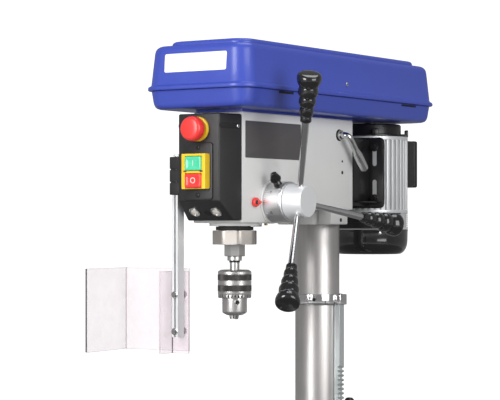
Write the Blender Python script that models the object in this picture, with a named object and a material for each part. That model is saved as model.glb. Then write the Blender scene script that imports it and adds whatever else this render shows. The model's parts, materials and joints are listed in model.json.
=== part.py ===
"""Bench drill press, in metres. The origin is under the column, +X is the feed handle side, the operator is at -Y."""

import math

import bmesh
import bpy
from mathutils import Matrix, Vector

# ---- driving dimensions ----
GAP = 0.0003                 # seat and running clearance
ROUND = 24                   # sides of a large round piece
SMALL_ROUND = 12             # sides of a small round piece
PULLEY_ROUND = 16            # sides of a pulley

HEAD_Z = 0.733               # underside of the head's column boss above the bench
THROAT = 0.268               # column axis to spindle axis
COLUMN_R = 0.040
COLUMN_WALL = 0.0045

BASE_WIDTH = 0.270
BASE_FRONT = 0.370
BASE_BACK = 0.095
BASE_HEIGHT = 0.034
BASE_WALL = 0.010
BASE_TOP_WALL = 0.011
BASE_RIB = 0.008
BASE_CORNER = 0.030
BASE_SLOT_WIDTH = 0.014
BASE_SLOT_LENGTH = 0.170
FLANGE_R = 0.078
FLANGE_HEIGHT = 0.078

TABLE_SIDE = 0.290
TABLE_TOP_Z = 0.400
TABLE_THICKNESS = 0.014
TABLE_RIM = 0.022
TABLE_HOLE_R = 0.012
TABLE_SLOT_WIDTH = 0.014
TABLE_SLOT_LENGTH = 0.090
TILT_DROP = 0.048            # tilt axis below the table's top
ARM_HEIGHT = 0.090
ARM_WALL = 0.015
TILT_BOSS_R = 0.030
TILT_BOLT_R = 0.008
CRANK_REACH = 0.085

RACK_DEPTH = 0.0115
RACK_WIDTH = 0.016
RACK_TOOTH = 0.0042
RACK_PITCH = 0.0080
RACK_PLAIN_TOP = 0.101
COLLAR_TOP_DROP = 0.125      # rack collar's top below the head's underside
COLLAR_HEIGHT = 0.019
COLLAR_R = 0.0455

HEAD_HEIGHT = 0.188
HEAD_FRONT_HALF = 0.050
HEAD_BACK_HALF = 0.0585
HEAD_FRONT_REACH = 0.0515    # spindle axis to the casting's front face
HEAD_FLARE_Y = -0.075
HEAD_BACK_Y = 0.028
HEAD_WALL = 0.007
HEAD_FLOOR_RISE = 0.026      # back floor above the column boss's underside
BOSS_WALL = 0.009
QUILL_R = 0.0275
QUILL_BORE_R = 0.0135
QUILL_TRAVEL = 0.080
QUILL_TUBE_WALL = 0.009
QUILL_FLANGE_R = 0.043
QUILL_COLLAR_R = 0.038
QUILL_COLLAR_HEIGHT = 0.0239
BUMPER_HEIGHT = 0.0066
SPINDLE_R = 0.010
NOSE_R = 0.018
CHUCK_SLEEVE_R = 0.0285
CHUCK_SLEEVE_HEIGHT = 0.048
CHUCK_BODY_R = 0.021
CHUCK_BODY_DROP = 0.029
JAW_R = 0.0045
JAW_LEAN = 0.23
JAW_LENGTH = 0.034
JAW_DROP = 0.007

FEED_Y = 0.036               # feed shaft behind the spindle axis
FEED_Z = 0.038               # feed shaft above the head's underside
PINION_TEETH = 14
PINION_PITCH_R = 0.011
PINION_OUTER_R = 0.0124
PINION_ROOT_R = 0.0090
FEED_SHAFT_R = 0.0080
FEED_BOSS_R = 0.037
FEED_BOSS_PROUD = 0.0025
DEPTH_COLLAR_R = 0.0345
DEPTH_COLLAR_LENGTH = 0.034
HUB_NEAR_R = 0.031           # the hub narrows from the drum to its end
HUB_R = 0.026
HUB_LENGTH = 0.0344
KNOB_LEAN = math.radians(38)  # the depth lock stands forward of upright
HANDLE_LENGTH = 0.232
HANDLE_LEAN = math.radians(17)
HANDLE_START = math.radians(109.7)
ROD_R = 0.006
GRIP_LENGTH = 0.086
GRIP_R = 0.0205

PANEL_REACH = 0.0548         # casting front to the panel's front face
PANEL_FRONT_HALF = 0.041
PANEL_HEIGHT = 0.177
PANEL_WALL = 0.003
PANEL_CUT_BACK = 0.035
PANEL_CUT_HEIGHT = 0.032
SWITCH_Z = 0.087             # switch centre above the head's underside
SWITCH_PLATE_WIDTH = 0.057
SWITCH_PLATE_HEIGHT = 0.094
SWITCH_WIDTH = 0.047
SWITCH_HEIGHT = 0.058
SWITCH_PROUD = 0.016
BUTTON_WIDTH = 0.032
BUTTON_HEIGHT = 0.0235
STOP_Z = 0.157
STOP_R = 0.020

COVER_HALF = 0.109
COVER_FRONT = 0.393
COVER_BACK = 0.265
COVER_CORNER = 0.038
COVER_WALL = 0.003
TRAY_HEIGHT = 0.031
TRAY_DRAFT = 0.007
RIM_STEP = 0.006
RIM_HEIGHT = 0.010
LID_HEIGHT = 0.065
LID_DRAFT = 0.006
LID_EDGE = 0.012
PAD_HEIGHT = 0.007

STEP_HEIGHT = 0.0125
PULLEY_STEP = 0.010
SPINDLE_PULLEY_R = 0.062
IDLER_PULLEY_R = 0.034
MOTOR_PULLEY_R = 0.052
IDLER_Y = -0.055
BELT_DEPTH = 0.006
GROOVE_DEPTH = 0.0085

MOTOR_Y = 0.190
MOTOR_R = 0.071
MOTOR_Z = 0.022              # lower end of the finned body above the head's underside
MOTOR_LENGTH = 0.143
MOTOR_FINS = 30
FIN_DEPTH = 0.005
VENT_RING = 0.030
MOTOR_CAP_LOW = 0.047
MOTOR_CAP_R = 0.059
MOTOR_CAP_HIGH = 0.0235
MOTOR_SLIDE = 0.012
PLATE_Y = 0.100
PLATE_THICKNESS = 0.006
PLATE_HALF = 0.080
BOX_HALF = 0.045
BOX_PROUD = 0.030            # terminal box behind the cover
BAR_R = 0.006
BAR_X = 0.038
BAR_Z = 0.142                # slide bars above the head's underside
LEVER_Y = -0.021
LEVER_Z = 0.1595
LEVER_R = 0.006

GUARD_X = -0.0575
GUARD_Y = 0.084              # guard post in front of the spindle axis
RAIL_WIDTH = 0.012
RAIL_DEPTH = 0.017
RAIL_LENGTH = 0.238
BRACKET_HEIGHT = 0.064
BRACKET_Z = 0.049
SHEET = 0.003
SHEET_HEIGHT = 0.138
GUARD_REACH = 0.116
GUARD_WING = 0.120

# ---- places worked out from them ----
SPINDLE_Y = -THROAT
HEAD_TOP = HEAD_Z + HEAD_HEIGHT
HEAD_FRONT_Y = SPINDLE_Y - HEAD_FRONT_REACH
FRONT_BOTTOM = HEAD_Z + 0.002
FEED_SHAFT_Y = SPINDLE_Y + FEED_Y
FEED_SHAFT_Z = HEAD_Z + FEED_Z
BORE_R = QUILL_R + 2 * GAP
COLLAR_BASE = HEAD_Z - 0.0343
COLLAR_TOP = COLLAR_BASE + QUILL_COLLAR_HEIGHT
QUILL_TOP = HEAD_Z + 0.159
TRAY_Z = HEAD_TOP + 0.004
RIM_Z = TRAY_Z + TRAY_HEIGHT
TABLE_Y = SPINDLE_Y


# ---- helpers ----
def material(name, colour, roughness, metallic=0.0, alpha=1.0):
    made = bpy.data.materials.new(name)
    made.use_nodes = True
    shader = made.node_tree.nodes["Principled BSDF"]
    shader.inputs["Base Color"].default_value = (*colour, 1.0)
    shader.inputs["Roughness"].default_value = roughness
    shader.inputs["Metallic"].default_value = metallic
    shader.inputs["Alpha"].default_value = alpha
    return made


def piece(name, bm, finish=None, at=(0, 0, 0)):
    """One object from a bmesh drawn about its own origin, placed at a point."""
    bmesh.ops.remove_doubles(bm, verts=bm.verts, dist=1e-6)
    bmesh.ops.recalc_face_normals(bm, faces=bm.faces)
    mesh = bpy.data.meshes.new(name)
    bm.to_mesh(mesh)
    bm.free()
    mesh.shade_smooth()
    mesh.set_sharp_from_angle(angle=math.radians(35))
    if finish:
        mesh.materials.append(finish)
    made = bpy.data.objects.new(name, mesh)
    made.location = at
    bpy.context.scene.collection.objects.link(made)
    return made


# The bores of these pieces cross each other, which the exact solver leaves open.
CROSS_BORED = ("head_casting", "table_arm", "chuck_body")


def boolean(target, operation, tools):
    for tool in tools:
        tool.hide_render = True
        tool.display_type = "WIRE"
        modifier = target.modifiers.new(tool.name, "BOOLEAN")
        modifier.operation = operation
        modifier.solver = "MANIFOLD" if target.name in CROSS_BORED else "EXACT"
        modifier.object = tool


def cut(target, *tools):
    boolean(target, "DIFFERENCE", tools)


def join(target, *tools):
    boolean(target, "UNION", tools)


def carry(empty_name, at, *pieces):
    """An empty on a joint's axis that carries the pieces which move about it."""
    empty = bpy.data.objects.new(empty_name, None)
    empty.location = at
    bpy.context.scene.collection.objects.link(empty)
    for held in pieces:
        held.parent = empty
        held.location = Vector(held.location) - Vector(at)
    return empty


AXIS_TURN = {
    "Z": Matrix.Identity(4),
    "X": Matrix.Rotation(math.radians(90), 4, "Y"),
    "Y": Matrix.Rotation(math.radians(-90), 4, "X"),
}


def turned(profile, sides=ROUND, axis="Z", hollow=False):
    """A turned body: (radius, height) points along one half section, closed round a bore when hollow."""
    bm = bmesh.new()
    points = [bm.verts.new((radius, 0, height)) for radius, height in profile]
    ends = points[1:] + points[:1] if hollow else points[1:]
    lines = [bm.edges.new(pair) for pair in zip(points, ends)]
    bmesh.ops.spin(bm, geom=points + lines, axis=(0, 0, 1), angle=math.tau, steps=sides, use_merge=True)
    bmesh.ops.remove_doubles(bm, verts=bm.verts, dist=1e-6)
    bmesh.ops.transform(bm, matrix=AXIS_TURN[axis], verts=bm.verts)
    return bm


def cylinder(radius, low, high, sides=SMALL_ROUND, axis="Z"):
    return turned([(0, low), (radius, low), (radius, high), (0, high)], sides, axis)


def ring(inner, outer, low, high, sides=ROUND, axis="Z"):
    return turned([(inner, low), (outer, low), (outer, high), (inner, high)], sides, axis, True)


def prism(outline, low, high, axis="Z"):
    """An outline extruded along an axis; its points are the two other coordinates in X, Y, Z order."""
    places = {
        "X": lambda u, v, w: (w, u, v),
        "Y": lambda u, v, w: (u, w, v),
        "Z": lambda u, v, w: (u, v, w),
    }
    bm = bmesh.new()
    near = [bm.verts.new(places[axis](u, v, low)) for u, v in outline]
    face = bm.faces.new(near)
    grown = bmesh.ops.extrude_face_region(bm, geom=[face])
    moved = [item for item in grown["geom"] if isinstance(item, bmesh.types.BMVert)]
    bmesh.ops.translate(bm, verts=moved, vec=Vector(places[axis](0, 0, high - low)))
    return bm


def block(low, high):
    return prism([(low[0], low[1]), (high[0], low[1]), (high[0], high[1]), (low[0], high[1])], low[2], high[2])


def rounded(low_u, high_u, low_v, high_v, radius, steps=5):
    """Outline of a rectangle with round corners."""
    corners = (
        (high_u - radius, low_v + radius, -90),
        (high_u - radius, high_v - radius, 0),
        (low_u + radius, high_v - radius, 90),
        (low_u + radius, low_v + radius, 180),
    )
    outline = []
    for u, v, start in corners:
        for step in range(steps + 1):
            angle = math.radians(start + 90 * step / steps)
            outline.append((u + radius * math.cos(angle), v + radius * math.sin(angle)))
    return outline


def slot(length, width, low, high, along="Y"):
    half, radius = length / 2, width / 2
    if along == "Y":
        return prism(rounded(-radius, radius, -half, half, radius * 0.98, 4), low, high)
    return prism(rounded(-half, half, -radius, radius, radius * 0.98, 4), low, high)


def lofted(rings):
    """A closed body through rings of equally many points, with a cap on the first and on the last."""
    bm = bmesh.new()
    made = [[bm.verts.new(point) for point in points] for points in rings]
    bm.faces.new(made[0])
    bm.faces.new(made[-1])
    for below, above in zip(made, made[1:]):
        for here in range(len(below)):
            after = (here + 1) % len(below)
            bm.faces.new((below[here], below[after], above[after], above[here]))
    return bm


# ---- finishes ----
CAST_GREY = material("cast_grey_paint", (0.61, 0.61, 0.60), 0.42)
CAST_IRON = material("machined_cast_iron", (0.42, 0.42, 0.43), 0.38, 0.8)
STEEL = material("ground_steel", (0.55, 0.54, 0.52), 0.28, 1.0)
CHROME = material("chrome", (0.80, 0.80, 0.82), 0.08, 1.0)
ALUMINIUM = material("aluminium", (0.72, 0.73, 0.74), 0.35, 1.0)
BLACK_PLASTIC = material("black_plastic", (0.045, 0.043, 0.046), 0.45)
BLACK_PAINT = material("black_paint", (0.012, 0.012, 0.013), 0.40)
BLUE = material("blue_enamel", (0.055, 0.090, 0.600), 0.25)
YELLOW = material("yellow_plastic", (1.0, 0.68, 0.02), 0.40)
RED = material("red_plastic", (0.90, 0.04, 0.04), 0.35)
GREEN = material("green_plastic", (0.07, 0.72, 0.35), 0.35)
RUBBER = material("black_rubber", (0.010, 0.010, 0.011), 0.80)
CLEAR = material("clear_sheet", (0.93, 0.88, 0.91), 0.08, 0.0, 0.3)


# ---- stand ----
def build_base():
    base = piece("base", prism(rounded(-BASE_WIDTH / 2, BASE_WIDTH / 2, -BASE_FRONT, BASE_BACK, BASE_CORNER),
                               0, BASE_HEIGHT), CAST_GREY)
    ceiling = BASE_HEIGHT - BASE_TOP_WALL
    pocket_x = (BASE_WIDTH - 2 * BASE_WALL - 2 * BASE_RIB) / 3
    pocket_back = -COLUMN_R - 2 * ARM_WALL
    pocket_y = (BASE_FRONT + pocket_back - BASE_WALL - 2 * BASE_RIB) / 3
    for column in range(3):
        for row in range(3):
            x = -BASE_WIDTH / 2 + BASE_WALL + column * (pocket_x + BASE_RIB)
            y = -BASE_FRONT + BASE_WALL + row * (pocket_y + BASE_RIB)
            inset = BASE_WALL if column != 1 and row == 0 else 0
            outline = rounded(x, x + pocket_x, y + inset, y + pocket_y, BASE_RIB, 2)
            cut(base, piece(f"base_pocket_{column}_{row}", prism(outline, -BASE_WALL, ceiling)))
    for side in (-1, 1):
        way = piece(f"base_slot_{side}", slot(BASE_SLOT_LENGTH, BASE_SLOT_WIDTH, ceiling - BASE_WALL,
                                              BASE_HEIGHT + BASE_WALL))
        way.location = (side * BASE_WIDTH * 0.29, SPINDLE_Y + 0.02, 0)
        cut(base, way)

    seat = BASE_HEIGHT + GAP
    bore = COLUMN_R + GAP
    neck = bore + 2 * BASE_WALL * 0.6
    profile = [
        (bore, seat), (FLANGE_R, seat), (FLANGE_R, seat + BASE_WALL), (neck + 0.006, seat + BASE_WALL + 0.006),
        (neck, seat + BASE_WALL + 0.016), (neck, seat + FLANGE_HEIGHT), (bore, seat + FLANGE_HEIGHT),
    ]
    piece("column_flange", turned(profile, hollow=True), CAST_GREY)
    socket_top = HEAD_Z + HEAD_HEIGHT * 0.62
    piece("column", ring(COLUMN_R - COLUMN_WALL, COLUMN_R, seat, socket_top - GAP), STEEL)
    return socket_top


RACK_BOTTOM = BASE_HEIGHT + FLANGE_HEIGHT + 2 * GAP
RACK_TOP = HEAD_Z - COLLAR_TOP_DROP - COLLAR_HEIGHT - GAP


def build_rack():
    """The rack stands on the flange, under the collar, and turns about the column with the table."""
    inner = COLUMN_R + GAP
    tip = inner + RACK_DEPTH
    outline = [(inner, RACK_TOP), (inner, RACK_BOTTOM), (tip, RACK_BOTTOM)]
    height = RACK_BOTTOM + RACK_PITCH
    while height + RACK_PITCH < RACK_TOP - RACK_PLAIN_TOP:
        outline += [
            (tip, height), (tip - RACK_TOOTH, height + RACK_PITCH * 0.2),
            (tip - RACK_TOOTH, height + RACK_PITCH * 0.5), (tip, height + RACK_PITCH * 0.7),
        ]
        height += RACK_PITCH
    outline.append((tip, RACK_TOP))
    rack = piece("rack", prism(outline, -RACK_WIDTH / 2, RACK_WIDTH / 2, "Y"), STEEL)

    low = RACK_TOP + GAP
    profile = [
        (COLUMN_R + GAP, low), (COLLAR_R, low), (COLLAR_R, low + COLLAR_HEIGHT),
        (COLUMN_R + GAP, low + COLLAR_HEIGHT),
    ]
    collar = piece("rack_collar", turned(profile, hollow=True), CHROME)
    lip = block((COLUMN_R + 0.002, -RACK_WIDTH * 0.7, low), (tip + 0.004, RACK_WIDTH * 0.7, low + COLLAR_HEIGHT))
    join(collar, piece("rack_collar_lip", lip))
    return rack


def build_table(rack):
    arm_top = TABLE_TOP_Z - TILT_DROP + ARM_HEIGHT * 0.42
    arm_low = arm_top - ARM_HEIGHT
    tilt_z = TABLE_TOP_Z - TILT_DROP
    outer = COLUMN_R + GAP + ARM_WALL
    arm = piece("table_arm", turned([(0, arm_low), (outer, arm_low), (outer, arm_top), (0, arm_top)]), CAST_GREY)
    boss_front = -outer - 0.055
    boss = cylinder(TILT_BOSS_R, boss_front, -COLUMN_R, ROUND, "Y")
    gear_reach = COLUMN_R + RACK_DEPTH + 0.026
    gear_box = block((0, -0.024, arm_low + 0.010), (gear_reach, 0.024, arm_top - 0.008))
    lugs = block((-0.020, COLUMN_R, arm_low), (0.020, outer + 0.026, arm_top))
    join(arm, piece("table_arm_boss", boss, at=(0, 0, tilt_z)), piece("table_arm_gear_box", gear_box),
         piece("table_arm_lugs", lugs))
    bore = cylinder(COLUMN_R + 2 * GAP, arm_low - 0.01, arm_top + 0.01, ROUND)
    split = block((-0.002, 0, arm_low - 0.01), (0.002, outer + 0.04, arm_top + 0.01))
    rack_way = block((0, -RACK_WIDTH / 2 - GAP, arm_low - 0.01),
                     (COLUMN_R + RACK_DEPTH + 3 * GAP, RACK_WIDTH / 2 + GAP, arm_top + 0.01))
    bolt_bore = cylinder(TILT_BOLT_R + GAP, boss_front - 0.02, 0, SMALL_ROUND, "Y")
    crank_z = (arm_low + arm_top) / 2
    shaft_bore = cylinder(0.0075 + GAP, COLUMN_R + RACK_DEPTH, gear_reach + 0.02, SMALL_ROUND, "X")
    lock_z = (arm_low + arm_top) / 2
    lock_y = outer + 0.013
    lock_bore = cylinder(0.005 + GAP, -0.05, 0.05, SMALL_ROUND, "X")
    cut(arm, piece("table_arm_bore", bore), piece("table_arm_split", split), piece("table_arm_rack_way", rack_way),
        piece("table_arm_bolt_bore", bolt_bore, at=(0, 0, tilt_z)),
        piece("table_arm_crank_bore", shaft_bore, at=(0, 0, crank_z)),
        piece("table_arm_lock_bore", lock_bore, at=(0, lock_y, lock_z)))

    shaft_in = COLUMN_R + RACK_DEPTH + 0.004
    crank_profile = [(0, shaft_in), (0.0075, shaft_in), (0.0075, gear_reach + GAP), (0.013, gear_reach + GAP),
                     (0.013, gear_reach + 0.014), (0, gear_reach + 0.014)]
    crank = piece("table_crank", turned(crank_profile, SMALL_ROUND, "X"), BLACK_PAINT, (0, 0, crank_z))
    web = prism(rounded(-CRANK_REACH, 0.008, -0.008, 0.008, 0.0078, 3), gear_reach + 0.004, gear_reach + 0.012, "X")
    grip = turned([(0, 0.008), (0.006, 0.008), (0.006, 0.016), (0.010, 0.020), (0.012, 0.060), (0.008, 0.066),
                   (0, 0.066)],
                  SMALL_ROUND, "X")
    join(crank, piece("table_crank_web", web, at=(0, 0, crank_z)),
         piece("table_crank_grip", grip, at=(gear_reach, -CRANK_REACH + 0.008, crank_z)))

    lock_profile = [(0, -0.024), (0.005, -0.024), (0.005, 0.020 + GAP), (0.010, 0.020 + GAP), (0.010, 0.034),
                    (0, 0.034)]
    lock = piece("column_lock_lever", turned(lock_profile, SMALL_ROUND, "X"), BLACK_PAINT, (0, lock_y, lock_z))
    lever = turned([(0, 0), (0.004, 0), (0.005, 0.050), (0.009, 0.056), (0.009, 0.068), (0, 0.072)], SMALL_ROUND)
    join(lock, piece("column_lock_arm", lever, at=(0.027, lock_y, lock_z)))

    bolt_profile = [(0, boss_front - 0.046), (0.013, boss_front - 0.046), (0.013, boss_front - 0.037),
                    (TILT_BOLT_R, boss_front - 0.037), (TILT_BOLT_R, -outer - 0.004), (0, -outer - 0.004)]
    bolt = piece("tilt_bolt", turned(bolt_profile, SMALL_ROUND, "Y"), STEEL, (0, 0, tilt_z))

    half = TABLE_SIDE / 2
    under = TABLE_TOP_Z - TABLE_THICKNESS
    table = piece("table",
                  prism(rounded(-half, half, TABLE_Y - half, TABLE_Y + half, 0.022), TABLE_TOP_Z - TABLE_RIM,
                                 TABLE_TOP_Z), CAST_IRON)
    recess = prism(rounded(-half + 0.008, half - 0.008, TABLE_Y - half + 0.008, TABLE_Y + half - 0.008, 0.016),
                   TABLE_TOP_Z - TABLE_RIM - 0.01, under)
    cut(table, piece("table_recess", recess))
    lug_front = boss_front - 0.036
    lug = cylinder(TILT_BOSS_R, lug_front, boss_front - GAP, ROUND, "Y")
    web_block = block((-TILT_BOSS_R, lug_front, tilt_z), (TILT_BOSS_R, boss_front - GAP, under + 0.004))
    join(table, piece("table_lug", lug, at=(0, 0, tilt_z)), piece("table_lug_web", web_block))
    for side in (-1, 1):
        rib = prism([(lug_front - 0.09, under + 0.004), (lug_front + 0.004, tilt_z),
                     (lug_front + 0.004, under + 0.004)],
                    side * 0.022 - 0.004, side * 0.022 + 0.004, "X")
        join(table, piece(f"table_rib_{side}", rib))
    hole = cylinder(TABLE_HOLE_R, TABLE_TOP_Z - 0.05, TABLE_TOP_Z + 0.01, SMALL_ROUND + 6)
    pivot = cylinder(TILT_BOLT_R + GAP, lug_front - 0.02, boss_front + 0.02, SMALL_ROUND, "Y")
    cut(table, piece("table_hole", hole, at=(0, TABLE_Y, 0)), piece("table_pivot_bore", pivot, at=(0, 0, tilt_z)))
    for quarter in range(4):
        angle = math.radians(45 + 90 * quarter)
        way = piece(f"table_slot_{quarter}",
                    slot(TABLE_SLOT_LENGTH, TABLE_SLOT_WIDTH, under - 0.01, TABLE_TOP_Z + 0.01))
        reach = TABLE_SIDE * 0.33
        way.location = (reach * math.cos(angle), TABLE_Y + reach * math.sin(angle), 0)
        way.rotation_euler = (0, 0, angle + math.radians(90))
        cut(table, way)

    carry("table_swing_axis", (0, 0, RACK_BOTTOM), rack, arm)
    carry("table_tilt_axis", (0, boss_front, tilt_z), table, bolt)
    carry("crank_axis", (gear_reach, 0, crank_z), crank)
    carry("column_lock_axis", (0.027, lock_y, lock_z), lock)


# ---- head ----
def half_width(y):
    """Half the casting's width at a depth: it flares from the front to the middle, then runs straight."""
    share = min(1.0, (y - HEAD_FRONT_Y) / (HEAD_FLARE_Y - HEAD_FRONT_Y))
    return HEAD_FRONT_HALF + (HEAD_BACK_HALF - HEAD_FRONT_HALF) * share


def build_head(socket_top):
    plan = [
        (-HEAD_FRONT_HALF, HEAD_FRONT_Y), (HEAD_FRONT_HALF, HEAD_FRONT_Y), (HEAD_BACK_HALF, HEAD_FLARE_Y),
        (HEAD_BACK_HALF, HEAD_BACK_Y), (-HEAD_BACK_HALF, HEAD_BACK_Y), (-HEAD_BACK_HALF, HEAD_FLARE_Y),
    ]
    wall = HEAD_WALL
    inner = [
        (-HEAD_FRONT_HALF + wall, HEAD_FRONT_Y + wall), (HEAD_FRONT_HALF - wall, HEAD_FRONT_Y + wall),
        (HEAD_BACK_HALF - wall, HEAD_FLARE_Y), (HEAD_BACK_HALF - wall, HEAD_BACK_Y - wall),
        (-HEAD_BACK_HALF + wall, HEAD_BACK_Y - wall), (-HEAD_BACK_HALF + wall, HEAD_FLARE_Y),
    ]
    head = piece("head_casting", prism(plan, FRONT_BOTTOM, HEAD_TOP), CAST_GREY)
    back_floor = HEAD_Z + HEAD_FLOOR_RISE
    step = SPINDLE_Y + 0.090
    under = prism([(step, FRONT_BOTTOM - 0.02), (HEAD_BACK_Y + 0.02, FRONT_BOTTOM - 0.02),
                   (HEAD_BACK_Y + 0.02, back_floor), (step + 0.020, back_floor)], -0.1, 0.1, "X")
    pocket = prism(inner, back_floor + wall, HEAD_TOP + 0.01)
    cut(head, piece("head_underside", under), piece("head_pocket", pocket))
    tube_r = BORE_R + QUILL_TUBE_WALL
    tube = turned([(0, HEAD_Z - 0.003), (QUILL_FLANGE_R, HEAD_Z - 0.003), (QUILL_FLANGE_R, FRONT_BOTTOM + 0.003),
                   (tube_r, FRONT_BOTTOM + 0.003), (tube_r, HEAD_TOP - 0.002), (0, HEAD_TOP - 0.002)])
    boss_r = COLUMN_R + BOSS_WALL
    boss = cylinder(boss_r, HEAD_Z, socket_top + 0.010, ROUND)
    side = half_width(FEED_SHAFT_Y)
    proud = side + FEED_BOSS_PROUD
    feed_boss = turned([(0, -proud), (FEED_BOSS_R - 0.004, -proud), (FEED_BOSS_R, -side + 0.002),
                        (FEED_BOSS_R, side - 0.002),
                        (FEED_BOSS_R - 0.004, proud), (0, proud)], ROUND, "X")
    core = block((-side + HEAD_WALL, FEED_SHAFT_Y - 0.1, HEAD_Z - 0.1),
                 (side - HEAD_WALL, FEED_SHAFT_Y + 0.1, HEAD_TOP))
    feed_boss = piece("head_feed_boss", feed_boss, at=(0, FEED_SHAFT_Y, FEED_SHAFT_Z))
    cut(feed_boss, piece("head_feed_boss_core", core))
    feed_tunnel = cylinder(0.018, -side + 0.002, side - 0.002, SMALL_ROUND + 6, "X")
    join(head, piece("head_quill_tube", tube, at=(0, SPINDLE_Y, 0)), piece("head_column_boss", boss),
         piece("head_feed_tunnel", feed_tunnel, at=(0, FEED_SHAFT_Y, FEED_SHAFT_Z)),
         feed_boss)
    quill_bore = cylinder(BORE_R, HEAD_Z - 0.02, HEAD_TOP + 0.02, ROUND)
    socket = cylinder(COLUMN_R + GAP, HEAD_Z - 0.02, socket_top, ROUND)
    shaft_bore = cylinder(FEED_SHAFT_R + GAP, -0.1, 0.1, SMALL_ROUND, "X")
    pinion_room = cylinder(PINION_OUTER_R + 0.0012, -0.0135, 0.0135, SMALL_ROUND + 6, "X")
    lever_bore = cylinder(LEVER_R + 2 * GAP, -0.1, 0.1, SMALL_ROUND, "X")
    screw_bore = cylinder(0.003, COLUMN_R, 0.06, 8, "X")
    cut(head, piece("head_quill_bore", quill_bore, at=(0, SPINDLE_Y, 0)), piece("head_column_socket", socket),
        piece("head_shaft_bore", shaft_bore, at=(0, FEED_SHAFT_Y, FEED_SHAFT_Z)),
        piece("head_pinion_room", pinion_room, at=(0, FEED_SHAFT_Y, FEED_SHAFT_Z)),
        piece("head_lever_bore", lever_bore, at=(0, LEVER_Y, HEAD_Z + LEVER_Z)),
        piece("head_screw_bore", screw_bore, at=(0, 0, HEAD_Z + 0.0095)))
    for side_x in (-1, 1):
        bar_bore = cylinder(BAR_R + GAP, HEAD_BACK_Y - 0.02, HEAD_BACK_Y + 0.02, SMALL_ROUND, "Y")
        cut(head, piece(f"head_bar_bore_{side_x}", bar_bore, at=(side_x * BAR_X, 0, HEAD_Z + BAR_Z)))


def panel_shell(inset, back):
    """The panel's body: a side profile whose half width grows towards the casting."""
    front = HEAD_FRONT_Y - GAP - PANEL_REACH
    low, high = HEAD_Z + 0.006, HEAD_Z + 0.006 + PANEL_HEIGHT
    profile = [
        (back, low + inset), (front + PANEL_CUT_BACK + inset * 0.4, low + inset),
        (front + inset, low + PANEL_CUT_HEIGHT + inset * 0.4), (front + inset, high - inset), (back, high - inset),
    ]
    flare = (HEAD_FRONT_HALF - PANEL_FRONT_HALF) / PANEL_REACH
    rings = []
    for side in (-1, 1):
        rings.append([(side * (PANEL_FRONT_HALF + (y - front) * flare - inset), y, z) for y, z in profile])
    return lofted(rings)


PANEL_FACE = HEAD_FRONT_Y - GAP - PANEL_REACH


def build_panel():
    back = HEAD_FRONT_Y - GAP
    panel = piece("front_panel", panel_shell(0, back), BLACK_PLASTIC)
    cut(panel, piece("front_panel_inside", panel_shell(PANEL_WALL, back + 0.01)))
    switch_z = HEAD_Z + SWITCH_Z
    half_w, half_h = SWITCH_WIDTH / 2, SWITCH_HEIGHT / 2
    window = block((-half_w - GAP, PANEL_FACE - 0.01, switch_z - half_h - GAP),
                   (half_w + GAP, PANEL_FACE + 0.01, switch_z + half_h + GAP))
    stop_bore = cylinder(0.011 + GAP, PANEL_FACE - 0.01, PANEL_FACE + 0.01, ROUND, "Y")
    stop_z = HEAD_Z + STOP_Z
    channel = cylinder(0.006, PANEL_FACE - 0.01, back - 0.008, 12, "Y")
    cut(panel, piece("front_panel_window", window), piece("front_panel_stop_bore", stop_bore, at=(0, 0, stop_z)))
    sleeve = cylinder(0.009, PANEL_FACE + 0.001, back - 0.002, 12, "Y")
    channel_at = (PANEL_FRONT_HALF - 0.001, 0, stop_z + 0.006)
    trim = panel_shell(0, back)
    sleeve_piece = piece("front_panel_sleeve", sleeve, at=channel_at)
    trimmed = piece("front_panel_trim", trim)
    trimmed.hide_render = True
    trimmed.display_type = "WIRE"
    boolean(sleeve_piece, "INTERSECT", [trimmed])
    join(panel, sleeve_piece)
    cut(panel, piece("front_panel_channel", channel, at=channel_at))

    plate_front = PANEL_FACE - GAP - 0.002
    plate = prism(rounded(-SWITCH_PLATE_WIDTH / 2, SWITCH_PLATE_WIDTH / 2, switch_z - SWITCH_PLATE_HEIGHT / 2,
                          switch_z + SWITCH_PLATE_HEIGHT / 2, 0.006, 3), plate_front, PANEL_FACE - GAP, "Y")
    plate = piece("switch_plate", plate, BLACK_PLASTIC)
    plate_window = block((-half_w - GAP, plate_front - 0.01, switch_z - half_h - GAP),
                         (half_w + GAP, plate_front + 0.01, switch_z + half_h + GAP))
    cut(plate, piece("switch_plate_window", plate_window))

    front = PANEL_FACE - SWITCH_PROUD
    housing = piece("switch_housing", block((-half_w, front, switch_z - half_h),
                                            (half_w, PANEL_FACE + 0.024, switch_z + half_h)), YELLOW)
    for name, finish, centre in (("green_button", GREEN, 0.0128), ("red_button", RED, -0.0156)):
        z = switch_z + centre
        w, h = BUTTON_WIDTH / 2, BUTTON_HEIGHT / 2
        well = block((-w - GAP, front - 0.01, z - h - GAP), (w + GAP, front + 0.012, z + h + GAP))
        cut(housing, piece(name + "_well", well))
        body = prism(rounded(-w, w, z - h, z + h, 0.003, 2), front - 0.002, front + 0.008, "Y")
        button = piece(name, body, finish)
        carry(name + "_axis", (0, front, z), button)

    collar = turned([(0.0075, PANEL_FACE - 0.0055), (STOP_R + 0.0005, PANEL_FACE - 0.0055),
                     (STOP_R + 0.0005, PANEL_FACE - GAP), (0.011, PANEL_FACE - GAP), (0.011, PANEL_FACE + 0.014),
                     (0.0075, PANEL_FACE + 0.014)], ROUND, "Y", True)
    piece("stop_collar", collar, YELLOW, (0, 0, stop_z))
    cap = turned([(0, PANEL_FACE - 0.029), (STOP_R - 0.003, PANEL_FACE - 0.0285), (STOP_R, PANEL_FACE - 0.026),
                  (STOP_R, PANEL_FACE - 0.011), (0.0072, PANEL_FACE - 0.011), (0.0072, PANEL_FACE + 0.004),
                  (0, PANEL_FACE + 0.004)], ROUND, "Y")
    stop = piece("stop_button", cap, RED, (0, 0, stop_z))
    carry("stop_button_axis", (0, PANEL_FACE, stop_z), stop)


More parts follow.
